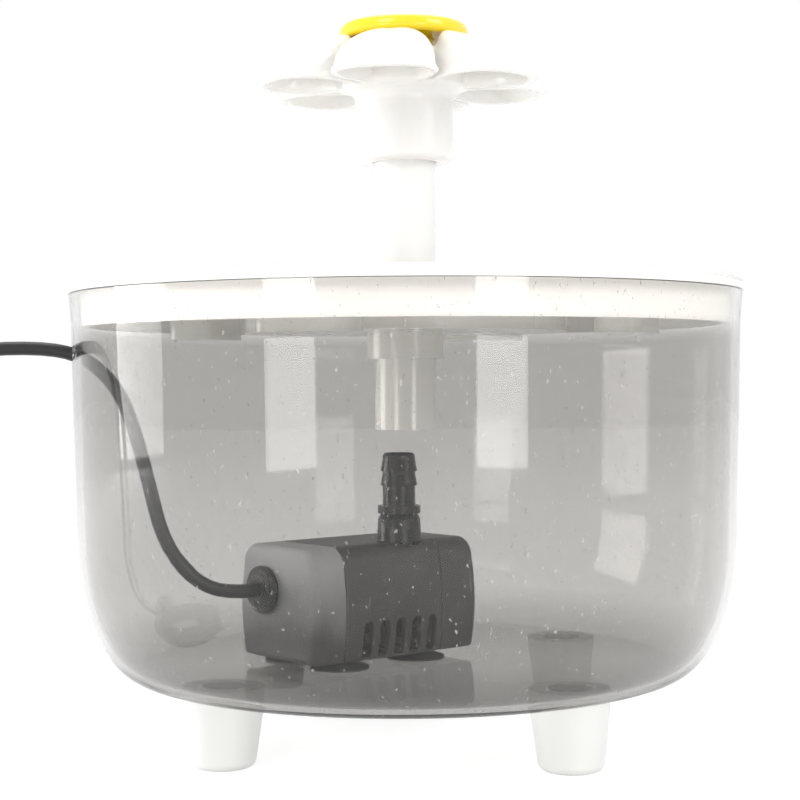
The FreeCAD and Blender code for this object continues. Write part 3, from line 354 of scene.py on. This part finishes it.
def clear_bowl_finish():
    """Tinted clear plastic with a film of dust specks and scratches."""
    finish = Finish("clear_bowl")
    cloud = finish.noise(CLOUD_SIZE, 3.0)
    glass = finish.surface(
        Base_Color=bowl_tint_and_shade(finish, cloud),
        Roughness=(0.015 + cloud * 0.02).clamped(),
        Normal=finish.bump(finish.noise(RIPPLE_SIZE, 1.0), RIPPLE_HEIGHT),
        Transmission_Weight=1.0,
        IOR=1.32,
    )
    powder = finish.surface(Base_Color=shade(DUST_COLOUR), Roughness=0.8)
    dusty = finish.blend(dust_film(finish, cloud), glass, powder)
    through = finish.node("ShaderNodeBsdfTransparent", None, {"Color": shade(BOWL_LAMP_TINT)}).outputs[0]
    lamp_ray = finish.node("ShaderNodeLightPath").outputs["Is Shadow Ray"]
    return finish.done(finish.blend(lamp_ray, dusty, through))


clear_bowl = clear_bowl_finish()
print("bowl tint", BOWL_TINT)

# %% [markdown]
# The filter pad is pressed white felt. Single fibres would be far too many, so noise that is stretched
# along one direction and then along the other stands for the matted fibres.

# %% Felt
FIBRE_SIZE = 0.6 * MM
FIBRE_HEIGHT = 0.3 * MM


def felt_finish():
    """Matted fibres: stretched noise in two directions."""
    finish = Finish("filter_felt")
    one_way = finish.noise(FIBRE_SIZE, 3.0, finish.stretched((1, 0.2, 1)))
    other_way = finish.noise(FIBRE_SIZE, 3.0, finish.stretched((0.2, 1, 1)))
    fibres = one_way * 0.5 + other_way * 0.5
    tone = finish.mix(fibres, (0.66, 0.66, 0.64, 1), (0.9, 0.9, 0.88, 1))
    shader = finish.surface(
        Base_Color=tone, Roughness=0.95, Normal=finish.bump(fibres, FIBRE_HEIGHT), Sheen_Weight=0.3,
    )
    return finish.done(shader)


filter_felt = felt_finish()

# %% [markdown]
# The motor's core is a stack of steel sheets, and its winding is lacquered copper wire. Both show fine
# bands that run one way, so a ping-pong wave across the bands makes either. The pump stands turned in
# the bowl, and the core's bands turn with it.

# %% Sheet steel and wire
PUMP_HEADING = math.radians(40)
SHEET_PITCH = 0.5 * MM
WIRE_PITCH = 0.3 * MM


def banded_finish(name, dark, light, pitch, turn, metallic, rough):
    """Fine bands across one direction, for stacked sheets and wound wire."""
    finish = Finish(name)
    turned = finish.node("ShaderNodeMapping", None, {"Vector": finish.place, "Rotation": turn}).outputs[0]
    across = Value(finish, finish.node("ShaderNodeSeparateXYZ", None, {0: turned}).outputs[0])
    bands = across.math("PINGPONG", across, pitch) / pitch
    tone = finish.mix(bands, dark, light)
    shader = finish.surface(
        Base_Color=tone, Roughness=rough, Metallic=metallic, Normal=finish.bump(bands, pitch * 0.4),
    )
    return finish.done(shader)


core_steel = banded_finish(
    "core_steel", (0.16, 0.16, 0.17, 1), (0.36, 0.36, 0.37, 1), SHEET_PITCH,
    (0, 0, math.pi / 2 - PUMP_HEADING), 0.9, 0.4,
)
copper_wire = banded_finish(
    "copper_wire", (0.25, 0.09, 0.03, 1), (0.72, 0.34, 0.15, 1), WIRE_PITCH, (0, math.pi / 2, 0), 0.9, 0.3,
)

# %% [markdown]
# The plug's shell is pressed, plated steel. It is smooth to the hand, but the press leaves faint streaks
# along it, which noise squeezed along one axis gives.

# %% Plated steel
STREAK_SIZE = 0.3 * MM


def bright_metal(name, colour, rough):
    """Pressed, plated metal with faint streaks."""
    finish = Finish(name)
    streaks = finish.noise(STREAK_SIZE, 2.0, finish.stretched((0.05, 1, 1)))
    tone = finish.mix(streaks, shade(colour, 0.94), shade(colour, 1.04))
    polish = (streaks * 0.12 + rough).clamped()
    return finish.done(finish.surface(Base_Color=tone, Roughness=polish, Metallic=1.0))


plug_metal = bright_metal("plug_metal", (0.78, 0.78, 0.79), 0.18)

# %% [markdown]
# Every piece of the frame gets one of these finishes. A table says which, and the feet and the suction
# cups, of which there are four each, go by the start of their names.

# %% Give every node its finish
FINISHES = {
    "bowl": clear_bowl,
    "lid": white_gloss,
    "filter_grille": white_gloss,
    "filter_pad": filter_felt,
    "stem_tube": white_gloss,
    "flower": flower_white,
    "pistil_cap": yellow_gloss,
    "pump_end_cap": pump_grey,
    "pump_body": pump_grey,
    "pump_front_cover": pump_grey,
    "motor_housing": pump_black,
    "stator_core": core_steel,
    "stator_winding": copper_wire,
    "volute": pump_black,
    "rotor_magnet": ferrite,
    "impeller": impeller_white,
    "rotor_shaft": ceramic,
    "rear_bush": cup_rubber,
    "front_bush": cup_rubber,
    "cord_gland": pump_black,
    "pump_nozzle": pump_black,
    "cord_tie": pump_black,
    "plug_grip": cord_jacket,
    "plug_shell": plug_metal,
    "plug_tongue": insert_white,
}


def set_finish(piece, material):
    """One material on all of a piece."""
    piece.data.materials.clear()
    piece.data.materials.append(material)


for name, node in nodes.items():
    if name.startswith("foot_"):
        set_finish(node, foot_white)
    elif name.startswith("suction_cup_"):
        set_finish(node, cup_rubber)
    elif name in FINISHES:
        set_finish(node, FINISHES[name])
print("finished nodes", len(nodes))

# %% [markdown]
# Moulded parts have no knife edges: each one is rounded by the tool that cut its mould. A bevel would
# need clean edge loops, which the solid's loose triangles don't have. So the solid is copied, its
# triangles are merged, and a fine remesh with a few rounds of smoothing takes the edges down by about
# half a millimetre while the flats stay flat.

# %% Rounding by remesh
BODY_OF = {}
for body, members in frame["record"]["behaviour"]["bodies"].items():
    for member in members:
        BODY_OF[member] = body


def apply_modifiers(piece):
    """Swap a piece's mesh for the result of its modifiers."""
    shown = piece.evaluated_get(bpy.context.evaluated_depsgraph_get())
    mesh = bpy.data.meshes.new_from_object(shown)
    piece.modifiers.clear()
    piece.data = mesh
    return piece


def rounded(name, mesh, voxel, rounds):
    """A new piece with one skin round a mesh, smoothed a few times."""
    piece = bpy.data.objects.new(name, mesh)
    bpy.context.scene.collection.objects.link(piece)
    remesh = piece.modifiers.new("remesh", "REMESH")
    remesh.mode = "VOXEL"
    remesh.voxel_size = voxel
    remesh.use_smooth_shade = True
    smooth = piece.modifiers.new("smooth", "SMOOTH")
    smooth.factor = 0.5
    smooth.iterations = rounds
    apply_modifiers(piece)
    print(name, "faces", len(piece.data.polygons))
    return piece


# %% [markdown]
# The yellow cap, the pump's three shells, the lead's gland and the plug's grip are seen closest, so they
# are the ones to soften. The felt pad is softened too; it gives when it is pressed.

# %% Softened copies of hard-edged mouldings
MERGE_DISTANCE = 1e-6
SHELL_VOXEL = 0.42 * MM


def softened(name, voxel, rounds, material):
    """A copy of a node with its edges rounded, in the node's place."""
    mesh = nodes[name].data.copy()
    work = bmesh.new()
    work.from_mesh(mesh)
    bmesh.ops.remove_doubles(work, verts=work.verts, dist=MERGE_DISTANCE)
    work.to_mesh(mesh)
    work.free()
    piece = rounded(name + "_soft", mesh, voxel, rounds)
    set_finish(piece, material)
    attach(piece, BODY_OF[name])
    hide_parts(name)
    return piece


softened("pistil_cap", 0.4 * MM, 4, yellow_gloss)
# The end cap gets the finish with the painted sheen.
softened("pump_end_cap", SHELL_VOXEL, 3, pump_cap_sheen)
for shell in ("pump_body", "pump_front_cover"):
    softened(shell, SHELL_VOXEL, 3, pump_grey)
softened("cord_gland", 0.3 * MM, 4, pump_black)
grip = softened("plug_grip", 0.3 * MM, 4, cord_jacket)
pad = softened("filter_pad", 0.8 * MM, 4, filter_felt)

# %% [markdown]
# The flower is one hollow moulding. Each petal is a pillow, round at its upper edge and open below, with
# a small lip that turns out round its rim. All six share one domed top. Sculpting would give a freer
# shape, but a formula keeps the six petals alike: the outline is a rounded wedge between its neighbours.

# %% Outline of a petal
LIP_Z = 192.5 * MM
LIP_RISE = 2.2 * MM
LIP_OUT = 1.0 * MM
PETAL_COUNT = 6
PETAL_MIDDLE = 27.2 * MM
PETAL_REACH = 16.3 * MM
PETAL_HALF = 15.6 * MM
PETAL_SIDES = 60
PETAL_GAP = 2.6 * MM
PETAL_TURN = math.radians(-100)
PETAL_WALL = 1.9 * MM
END_FULLNESS = 0.9  # below 1, a fuller end than an ellipse's
SIDE_FULLNESS = 0.72
HALF_SECTOR = math.pi / PETAL_COUNT


def full_wave(wave, fullness):
    """A sine or cosine made fuller, with its sign kept."""
    return math.copysign(abs(wave) ** fullness, wave)


def petal_edge(step, inset):
    """Point of a petal's outline, drawn in by an inset."""
    angle = 2 * math.pi * step / PETAL_SIDES
    x = PETAL_MIDDLE + (PETAL_REACH - inset) * full_wave(math.cos(angle), END_FULLNESS)
    sector = x * math.tan(HALF_SECTOR) - PETAL_GAP / 2 / math.cos(HALF_SECTOR)
    half = (sector ** -8 + PETAL_HALF ** -8) ** (-1 / 8) - inset
    return x, half * full_wave(math.sin(angle), SIDE_FULLNESS)


# %% [markdown]
# Above the outline stands the petal's top. It follows the dome over most of the petal and turns down
# steeply near the edge. The inside is the same shape, lower by the wall. A petal is then a stack of
# rings from the middle of its outside, over its lip, to the middle of its inside.

# %% Rings of a petal
SEAT_R = 19.8 * MM
SEAT_Z = 207.2 * MM
DOME_TOP = 208.3 * MM
DOME_EDGE = 194.8 * MM
DOME_FLAT_R = 18.0 * MM
DOME_FALL = 1.45
TIP_R = 43.5 * MM
EDGE_TURN = 10  # the higher, the nearer to its edge a petal turns down
RING_SHARES = (0.12, 0.3, 0.5, 0.68, 0.8, 0.88, 0.94, 0.975, 0.995)


def dome_z(radius):
    """Height of the petals' common domed top at a distance from the axis."""
    share = min(max((radius - DOME_FLAT_R) / (TIP_R - DOME_FLAT_R), 0.0), 1.0)
    height = DOME_TOP - (DOME_TOP - DOME_EDGE) * share ** DOME_FALL
    return min(height, SEAT_Z) if radius < SEAT_R else height


def petal_top(step, share, wall):
    """Point of a petal's outside, or of its inside where a wall is given."""
    edge_x, edge_y = petal_edge(step, wall * 0.8)
    x = PETAL_MIDDLE + (edge_x - PETAL_MIDDLE) * share
    y = edge_y * share
    low = LIP_Z + (LIP_RISE if wall == 0 else 0.2 * MM)
    high = max(dome_z(math.hypot(x, y)) - wall, low + 0.1 * MM)
    return x, y, low + (high - low) * (1 - share ** EDGE_TURN) ** 0.5


def petal_rings():
    """Rings of a petal from the middle of its outside, over its lip, to the middle of its inside."""
    steps = range(PETAL_SIDES)
    outside = [[petal_top(step, share, 0.0) for step in steps] for share in RING_SHARES]
    inside = [[petal_top(step, share, PETAL_WALL) for step in steps] for share in reversed(RING_SHARES)]
    lip = []
    for inset, rise_up in (
        (0.0, LIP_RISE), (-0.7 * LIP_OUT, 0.6 * LIP_RISE), (-LIP_OUT, 0.3 * LIP_RISE),
        (-0.5 * LIP_OUT, 0.0), (0.6 * PETAL_WALL, 0.0),
    ):
        lip.append([(*petal_edge(step, inset), LIP_Z + rise_up) for step in steps])
    return outside + lip + inside


# %% [markdown]
# The hub is turned: a short socket that goes over the tube, with a neck and a seat for the yellow cap.
# Its profile is a list of radius and height, in millimetres, spun round the axis. Petals and hub overlap
# as closed skins, and one remesh joins them into a single moulding with soft inner corners.

# %% Flower
HUB_SIDES = 72
HUB_PROFILE = [
    (9.3, 171.0), (12.85, 171.0), (13.9, 171.5), (14.65, 172.8), (14.65, 189.5), (15.65, 191.7),
    (19.0, 192.8), (19.0, 203.0), (9.3, 203.0), (9.3, 198.9), (6.0, 198.9), (6.0, 187.0), (9.3, 187.0),
]


def turned(x, y, angle):
    """A point in plan, turned about the axis."""
    return x * math.cos(angle) - y * math.sin(angle), x * math.sin(angle) + y * math.cos(angle)


def bridge(work, low, high):
    """Faces between two rings of as many points."""
    count = len(low)
    for i in range(count):
        work.faces.new((low[i], low[(i + 1) % count], high[(i + 1) % count], high[i]))


def petal_skin(work, rings, angle):
    """Skin over a petal's rings, closed at both ends, turned about the axis."""
    made = []
    for ring in rings:
        made.append([work.verts.new((*turned(x, y, angle), z)) for x, y, z in ring])
    for low, high in zip(made, made[1:]):
        bridge(work, low, high)
    work.faces.new(list(reversed(made[0])))
    work.faces.new(made[-1])


def hub_skin(work):
    """Skin of the turned hub."""
    angles = [2 * math.pi * i / HUB_SIDES for i in range(HUB_SIDES)]
    hub = []
    for radius, height in HUB_PROFILE:
        r = radius * MM
        hub.append([work.verts.new((r * math.cos(a), r * math.sin(a), height * MM)) for a in angles])
    for low, high in zip(hub, hub[1:] + hub[:1]):
        bridge(work, low, high)


def flower_form():
    """Hub and six petals as one rounded skin."""
    work = bmesh.new()
    rings = petal_rings()
    for petal in range(PETAL_COUNT):
        petal_skin(work, rings, PETAL_TURN + petal * 2 * HALF_SECTOR)
    hub_skin(work)
    bmesh.ops.recalc_face_normals(work, faces=work.faces)
    mesh = bpy.data.meshes.new("flower_form")
    work.to_mesh(mesh)
    work.free()
    piece = rounded("flower_form", mesh, 0.6 * MM, 6)
    set_finish(piece, flower_white)
    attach(piece, "flower")
    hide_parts("flower")


flower_form()

# %% [markdown]
# The lead is one 4 mm cord, about 1.48 m from the pump to its plug. Its route is a list of points, the same
# as the solid's, and a spline smooths it. The spare length is a neat two-layer coil that spirals in, climbs
# in the half turn where it reverses, and spirals out again, so a loop works out its turns.

# %% Route and coil of the lead
CORD_R = 2.0 * MM
CORD_ROUTE = [
    (-0.0440, -0.0156, 0.0450),
    (-0.0524, -0.0226, 0.0448),
    (-0.0620, -0.0272, 0.0503),
    (-0.0693, -0.0285, 0.0610),
    (-0.0735, -0.0275, 0.0780),
    (-0.0780, -0.0245, 0.0935),
    (-0.0832, -0.0208, 0.1046),
    (-0.0925, -0.0187, 0.1132),
    (-0.1045, -0.0200, 0.1162),
    (-0.1270, -0.0246, 0.1154),
    (-0.1460, -0.0280, 0.1075),
    (-0.1575, -0.0305, 0.0895),
    (-0.1605, -0.0318, 0.0660),
    (-0.1615, -0.0340, 0.0415),
    (-0.1655, -0.0395, 0.0175),
    (-0.1745, -0.0570, 0.0030),
]
COIL_CENTRE = (-0.143, -0.084)
COIL_R = 31.5 * MM
COIL_PITCH = 4.5 * MM
COIL_LAYER = 4.5 * MM
COIL_TURNS = 3.5
COIL_Z = 3.0 * MM
END_CLIMB = 6.6 * MM
END_R = 22.0 * MM
POINTS_PER_TURN = 24
LEAD_STEP = 4 * MM  # length of the straight bits at the coil's two ends


def eased(share):
    """0 to 1 along half a cosine wave, flat at both ends."""
    share = min(max(share, 0.0), 1.0)
    return (1 - math.cos(math.pi * share)) / 2


def coil_point(turns):
    """Point of the coil's line after a number of turns from its outer end."""
    last = 2 * COIL_TURNS
    inner = COIL_R - COIL_PITCH * COIL_TURNS
    if turns <= last:
        radius = inner + COIL_PITCH * abs(COIL_TURNS - turns)
    elif turns <= last + 0.5:
        radius = COIL_R + COIL_PITCH * (0.25 - abs(turns - last - 0.25))
    else:
        radius = COIL_R - (COIL_R - END_R) * (turns - last - 0.5) / 0.25
    second_layer = COIL_LAYER * eased((turns - COIL_TURNS) * 2 + 0.5)
    height = COIL_Z + second_layer + END_CLIMB * eased((turns - last) * 2)
    angle = math.pi + 2 * math.pi * turns
    return (COIL_CENTRE[0] + radius * math.cos(angle), COIL_CENTRE[1] + radius * math.sin(angle), height)


def lead_points():
    """Control points of the whole lead: the route, the coil and the straight run into the plug."""
    steps = int(round((2 * COIL_TURNS + 0.75) * POINTS_PER_TURN))
    coil = [coil_point(step / POINTS_PER_TURN) for step in range(steps + 1)]
    lead_in = (coil[0][0], coil[0][1] + LEAD_STEP, COIL_Z)
    last = Vector(coil[-1])
    way = Vector((-math.pi / 2 * END_R, -(COIL_R - END_R), 0)).normalized()
    return CORD_ROUTE + [lead_in] + coil + [tuple(last + way * LEAD_STEP)]


# %% [markdown]
# A curve with a round bevel is a cord already: it keeps one thickness round every bend and closes its
# ends. It stands for both solids of the lead, the seen run and the coil.

# %% Lead
def nurbs(name, points, radius, resolution):
    """Round cord along a smooth spline."""
    curve = bpy.data.curves.new(name, "CURVE")
    curve.dimensions = "3D"
    curve.resolution_u = resolution
    curve.bevel_depth = radius
    curve.bevel_resolution = 5
    curve.use_fill_caps = True
    spline = curve.splines.new("NURBS")
    spline.points.add(len(points) - 1)
    for point, place in zip(spline.points, points):
        point.co = (*place, 1.0)
    spline.order_u = 3
    spline.use_endpoint_u = True
    piece = bpy.data.objects.new(name, curve)
    bpy.context.scene.collection.objects.link(piece)
    return piece


cord = nurbs("cord", lead_points(), CORD_R, 4)
set_finish(cord, cord_jacket)
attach(cord, "bowl")
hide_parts("cord_lead", "cord_coil")
print("lead points", len(lead_points()))

# %% [markdown]
# Where the lead enters its plug, a strain relief of soft rings keeps it from kinking. The rings repeat
# along a line, so Geometry Nodes make them: one ring, instanced on the points of a mesh line, then
# turned into real faces.

# %% Tree of the strain relief rings
RING_INPUTS = {
    "Count": "NodeSocketInt",
    "Pitch": "NodeSocketFloat",
    "Radius": "NodeSocketFloat",
    "Thickness": "NodeSocketFloat",
    "Material": "NodeSocketMaterial",
}
RING_SIDES = 28
RING_SECTION_SIDES = 10


def ring_tree():
    """Geometry Nodes tree of rings along X, with named inputs for their sizes."""
    tree = bpy.data.node_groups.new("relief_rings", "GeometryNodeTree")
    for name, kind in RING_INPUTS.items():
        tree.interface.new_socket(name, in_out="INPUT", socket_type=kind)
    tree.interface.new_socket("Geometry", in_out="OUTPUT", socket_type="NodeSocketGeometry")
    graph = Graph(tree)
    size = graph.node("NodeGroupInput").outputs
    step = graph.node("ShaderNodeCombineXYZ", None, {"X": size["Pitch"]})
    line = graph.node("GeometryNodeMeshLine", None, {"Count": size["Count"], "Offset": step.outputs[0]})
    circle = graph.node(
        "GeometryNodeCurvePrimitiveCircle", None, {"Resolution": RING_SIDES, "Radius": size["Radius"]},
    )
    section = graph.node(
        "GeometryNodeCurvePrimitiveCircle", None,
        {"Resolution": RING_SECTION_SIDES, "Radius": size["Thickness"]},
    )
    ring = graph.node(
        "GeometryNodeCurveToMesh", None, {"Curve": circle.outputs[0], "Profile Curve": section.outputs[0]},
    )
    upright = {"Geometry": ring.outputs[0], "Rotation": (0, math.pi / 2, 0)}
    turn = graph.node("GeometryNodeTransform", None, upright)
    copies = {"Points": line.outputs[0], "Instance": turn.outputs[0]}
    copy = graph.node("GeometryNodeInstanceOnPoints", None, copies)
    real = graph.node("GeometryNodeRealizeInstances", None, {0: copy.outputs[0]})
    painted = {"Geometry": real.outputs[0], "Material": size["Material"]}
    paint = graph.node("GeometryNodeSetMaterial", None, painted)
    graph.node("NodeGroupOutput", None, {0: paint.outputs[0]})
    return tree


# %% [markdown]
# The rings come out along the X axis. The lead's last two points say where the plug begins and which way
# it points, so the mesh is turned and moved there, and the object itself stays at the origin.

# %% Strain relief rings on the plug
RING_SIZES = {
    "Count": 4,
    "Pitch": 1.9 * MM,
    "Radius": 3.1 * MM,
    "Thickness": 0.55 * MM,
    "Material": cord_jacket,
}
FIRST_RING = 1.6 * MM  # from the lead's last point


def place_mesh(piece, angle, place):
    """Put a piece's mesh in its place, so that the object itself stays at the origin."""
    for vertex in piece.data.vertices:
        x, y, z = vertex.co
        plan_x, plan_y = turned(x, y, angle)
        vertex.co = (plan_x + place[0], plan_y + place[1], z + place[2])


tree = ring_tree()
rings = bpy.data.objects.new("relief_rings", bpy.data.meshes.new("relief_rings"))
bpy.context.scene.collection.objects.link(rings)
modifier = rings.modifiers.new("rings", "NODES")
modifier.node_group = tree
for item in tree.interface.items_tree:
    if item.in_out == "INPUT":
        modifier[item.identifier] = RING_SIZES[item.name]
apply_modifiers(rings)
before_last, plug_start = (Vector(point) for point in lead_points()[-2:])
plug_way = (plug_start - before_last).normalized()
place_mesh(rings, math.atan2(plug_way.y, plug_way.x), plug_start + plug_way * FIRST_RING)
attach(rings, "bowl")

# %% [markdown]
# The photograph is a studio shot on white. The world shows white to the eye and to what is mirrored or
# seen through the bowl, but lights the object with less. The floor glows a little where it is seen, so
# that it reads white and still keeps a soft shadow.

# %% Floor and world
FLOOR_SIZE = 6.0
FLOOR_MATTE = (0.42, 0.42, 0.42, 1)
FLOOR_GLOW = 0.8
FLOOR_PLAIN = (0.8, 0.8, 0.8, 1)
WORLD_LEVEL = 0.65
PURE_WHITE = (1, 1, 1, 1)


def make_floor():
    """Pale floor that reads white and keeps a soft shadow."""
    half = FLOOR_SIZE / 2
    mesh = bpy.data.meshes.new("floor")
    corners = [(-half, -half, 0), (half, -half, 0), (half, half, 0), (-half, half, 0)]
    mesh.from_pydata(corners, [], [(0, 1, 2, 3)])
    floor = bpy.data.objects.new("floor", mesh)
    bpy.context.scene.collection.objects.link(floor)
    finish = Finish("floor_white")
    matte = finish.node("ShaderNodeBsdfDiffuse", None, {"Color": FLOOR_MATTE}).outputs[0]
    glow = finish.node("ShaderNodeEmission", None, {"Color": PURE_WHITE, "Strength": FLOOR_GLOW}).outputs[0]
    lit = finish.node("ShaderNodeAddShader", None, {0: matte, 1: glow}).outputs[0]
    plain = finish.node("ShaderNodeBsdfDiffuse", None, {"Color": FLOOR_PLAIN}).outputs[0]
    set_finish(floor, finish.done(finish.blend(finish.seen(), plain, lit)))


def make_world():
    """White to the eye, dimmer as a light."""
    world = bpy.data.worlds.new("studio")
    bpy.context.scene.world = world
    world.use_nodes = True
    sky = Graph(world.node_tree)
    white = sky.node("ShaderNodeBackground", None, {"Strength": 1.0, "Color": PURE_WHITE}).outputs[0]
    soft = sky.node("ShaderNodeBackground", None, {"Strength": WORLD_LEVEL, "Color": PURE_WHITE}).outputs[0]
    mixed = sky.node("ShaderNodeMixShader", None, {0: sky.seen(), 1: soft, 2: white}).outputs[0]
    sky.node("ShaderNodeOutputWorld", None, {"Surface": mixed})


make_floor()
make_world()

# %% [markdown]
# Large soft lamps stand to the left, to the right and above. They shape the white pieces without hard
# shadows. The low left one would show in the bowl as a white patch, so it is kept out of the shine. Two
# low cards make the upright reflections on the bowl.

# %% Lamps
MIDDLE = (0, 0, 0.1)
LOW_MIDDLE = (0, 0, 0.05)


def lamp(name, place, aim, width, height, power, mirrored=True):
    """Soft rectangular lamp that faces a point, seen in the bowl's shine only if it is mirrored."""
    light = bpy.data.lights.new(name, "AREA")
    light.shape = "RECTANGLE"
    light.size = width
    light.size_y = height
    light.energy = power
    piece = bpy.data.objects.new(name, light)
    piece.location = place
    piece.visible_glossy = mirrored
    piece.rotation_euler = (Vector(aim) - Vector(place)).to_track_quat("-Z", "Y").to_euler()
    bpy.context.scene.collection.objects.link(piece)


lamp("left_box", (-1.15, 0.15, 0.21), LOW_MIDDLE, 0.5, 0.4, 6.5, mirrored=False)
lamp("front_left_box", (-0.8, -1.2, 1.0), MIDDLE, 0.7, 0.7, 6.5)
lamp("right_box", (1.2, -0.7, 0.8), MIDDLE, 0.6, 0.8, 7)
lamp("top_box", (0.0, 0.3, 1.4), MIDDLE, 1.2, 1.0, 8)
lamp("left_card", (-0.62, -0.85, 0.05), LOW_MIDDLE, 0.30, 0.11, 0.8)
lamp("right_card", (0.52, -0.92, 0.05), LOW_MIDDLE, 0.30, 0.11, 0.8)
print("lamps", len(bpy.data.lights))

# %% [markdown]
# The camera stands where the photographer's did, worked out from the bowl's rim, the feet and the lid:
# half a metre away, a little under the lid's height, and tipped down by less than a degree.

# %% Camera
CAMERA_PLACE = (-0.0018, -0.5129, 0.107)
CAMERA_TILT = 0.0136
CAMERA_ROLL = -0.0063
FOCAL_PIXELS = 1705.0
PHOTO_WIDTH = 800.0
SENSOR_WIDTH = 36.0

lens = bpy.data.cameras.new("camera")
lens.sensor_width = SENSOR_WIDTH
lens.lens = SENSOR_WIDTH * FOCAL_PIXELS / PHOTO_WIDTH
lens.clip_start = 0.01
camera = bpy.data.objects.new("camera", lens)
camera.location = CAMERA_PLACE
camera.rotation_mode = "QUATERNION"
aim = Vector((0, math.cos(CAMERA_TILT), -math.sin(CAMERA_TILT))).to_track_quat("-Z", "Y")
camera.rotation_quaternion = aim @ Quaternion((0, 0, 1), CAMERA_ROLL)
bpy.context.scene.collection.objects.link(camera)
bpy.context.scene.camera = camera
bpy.context.scene.view_settings.view_transform = "Standard"
print("focal length", round(lens.lens, 1), "mm")
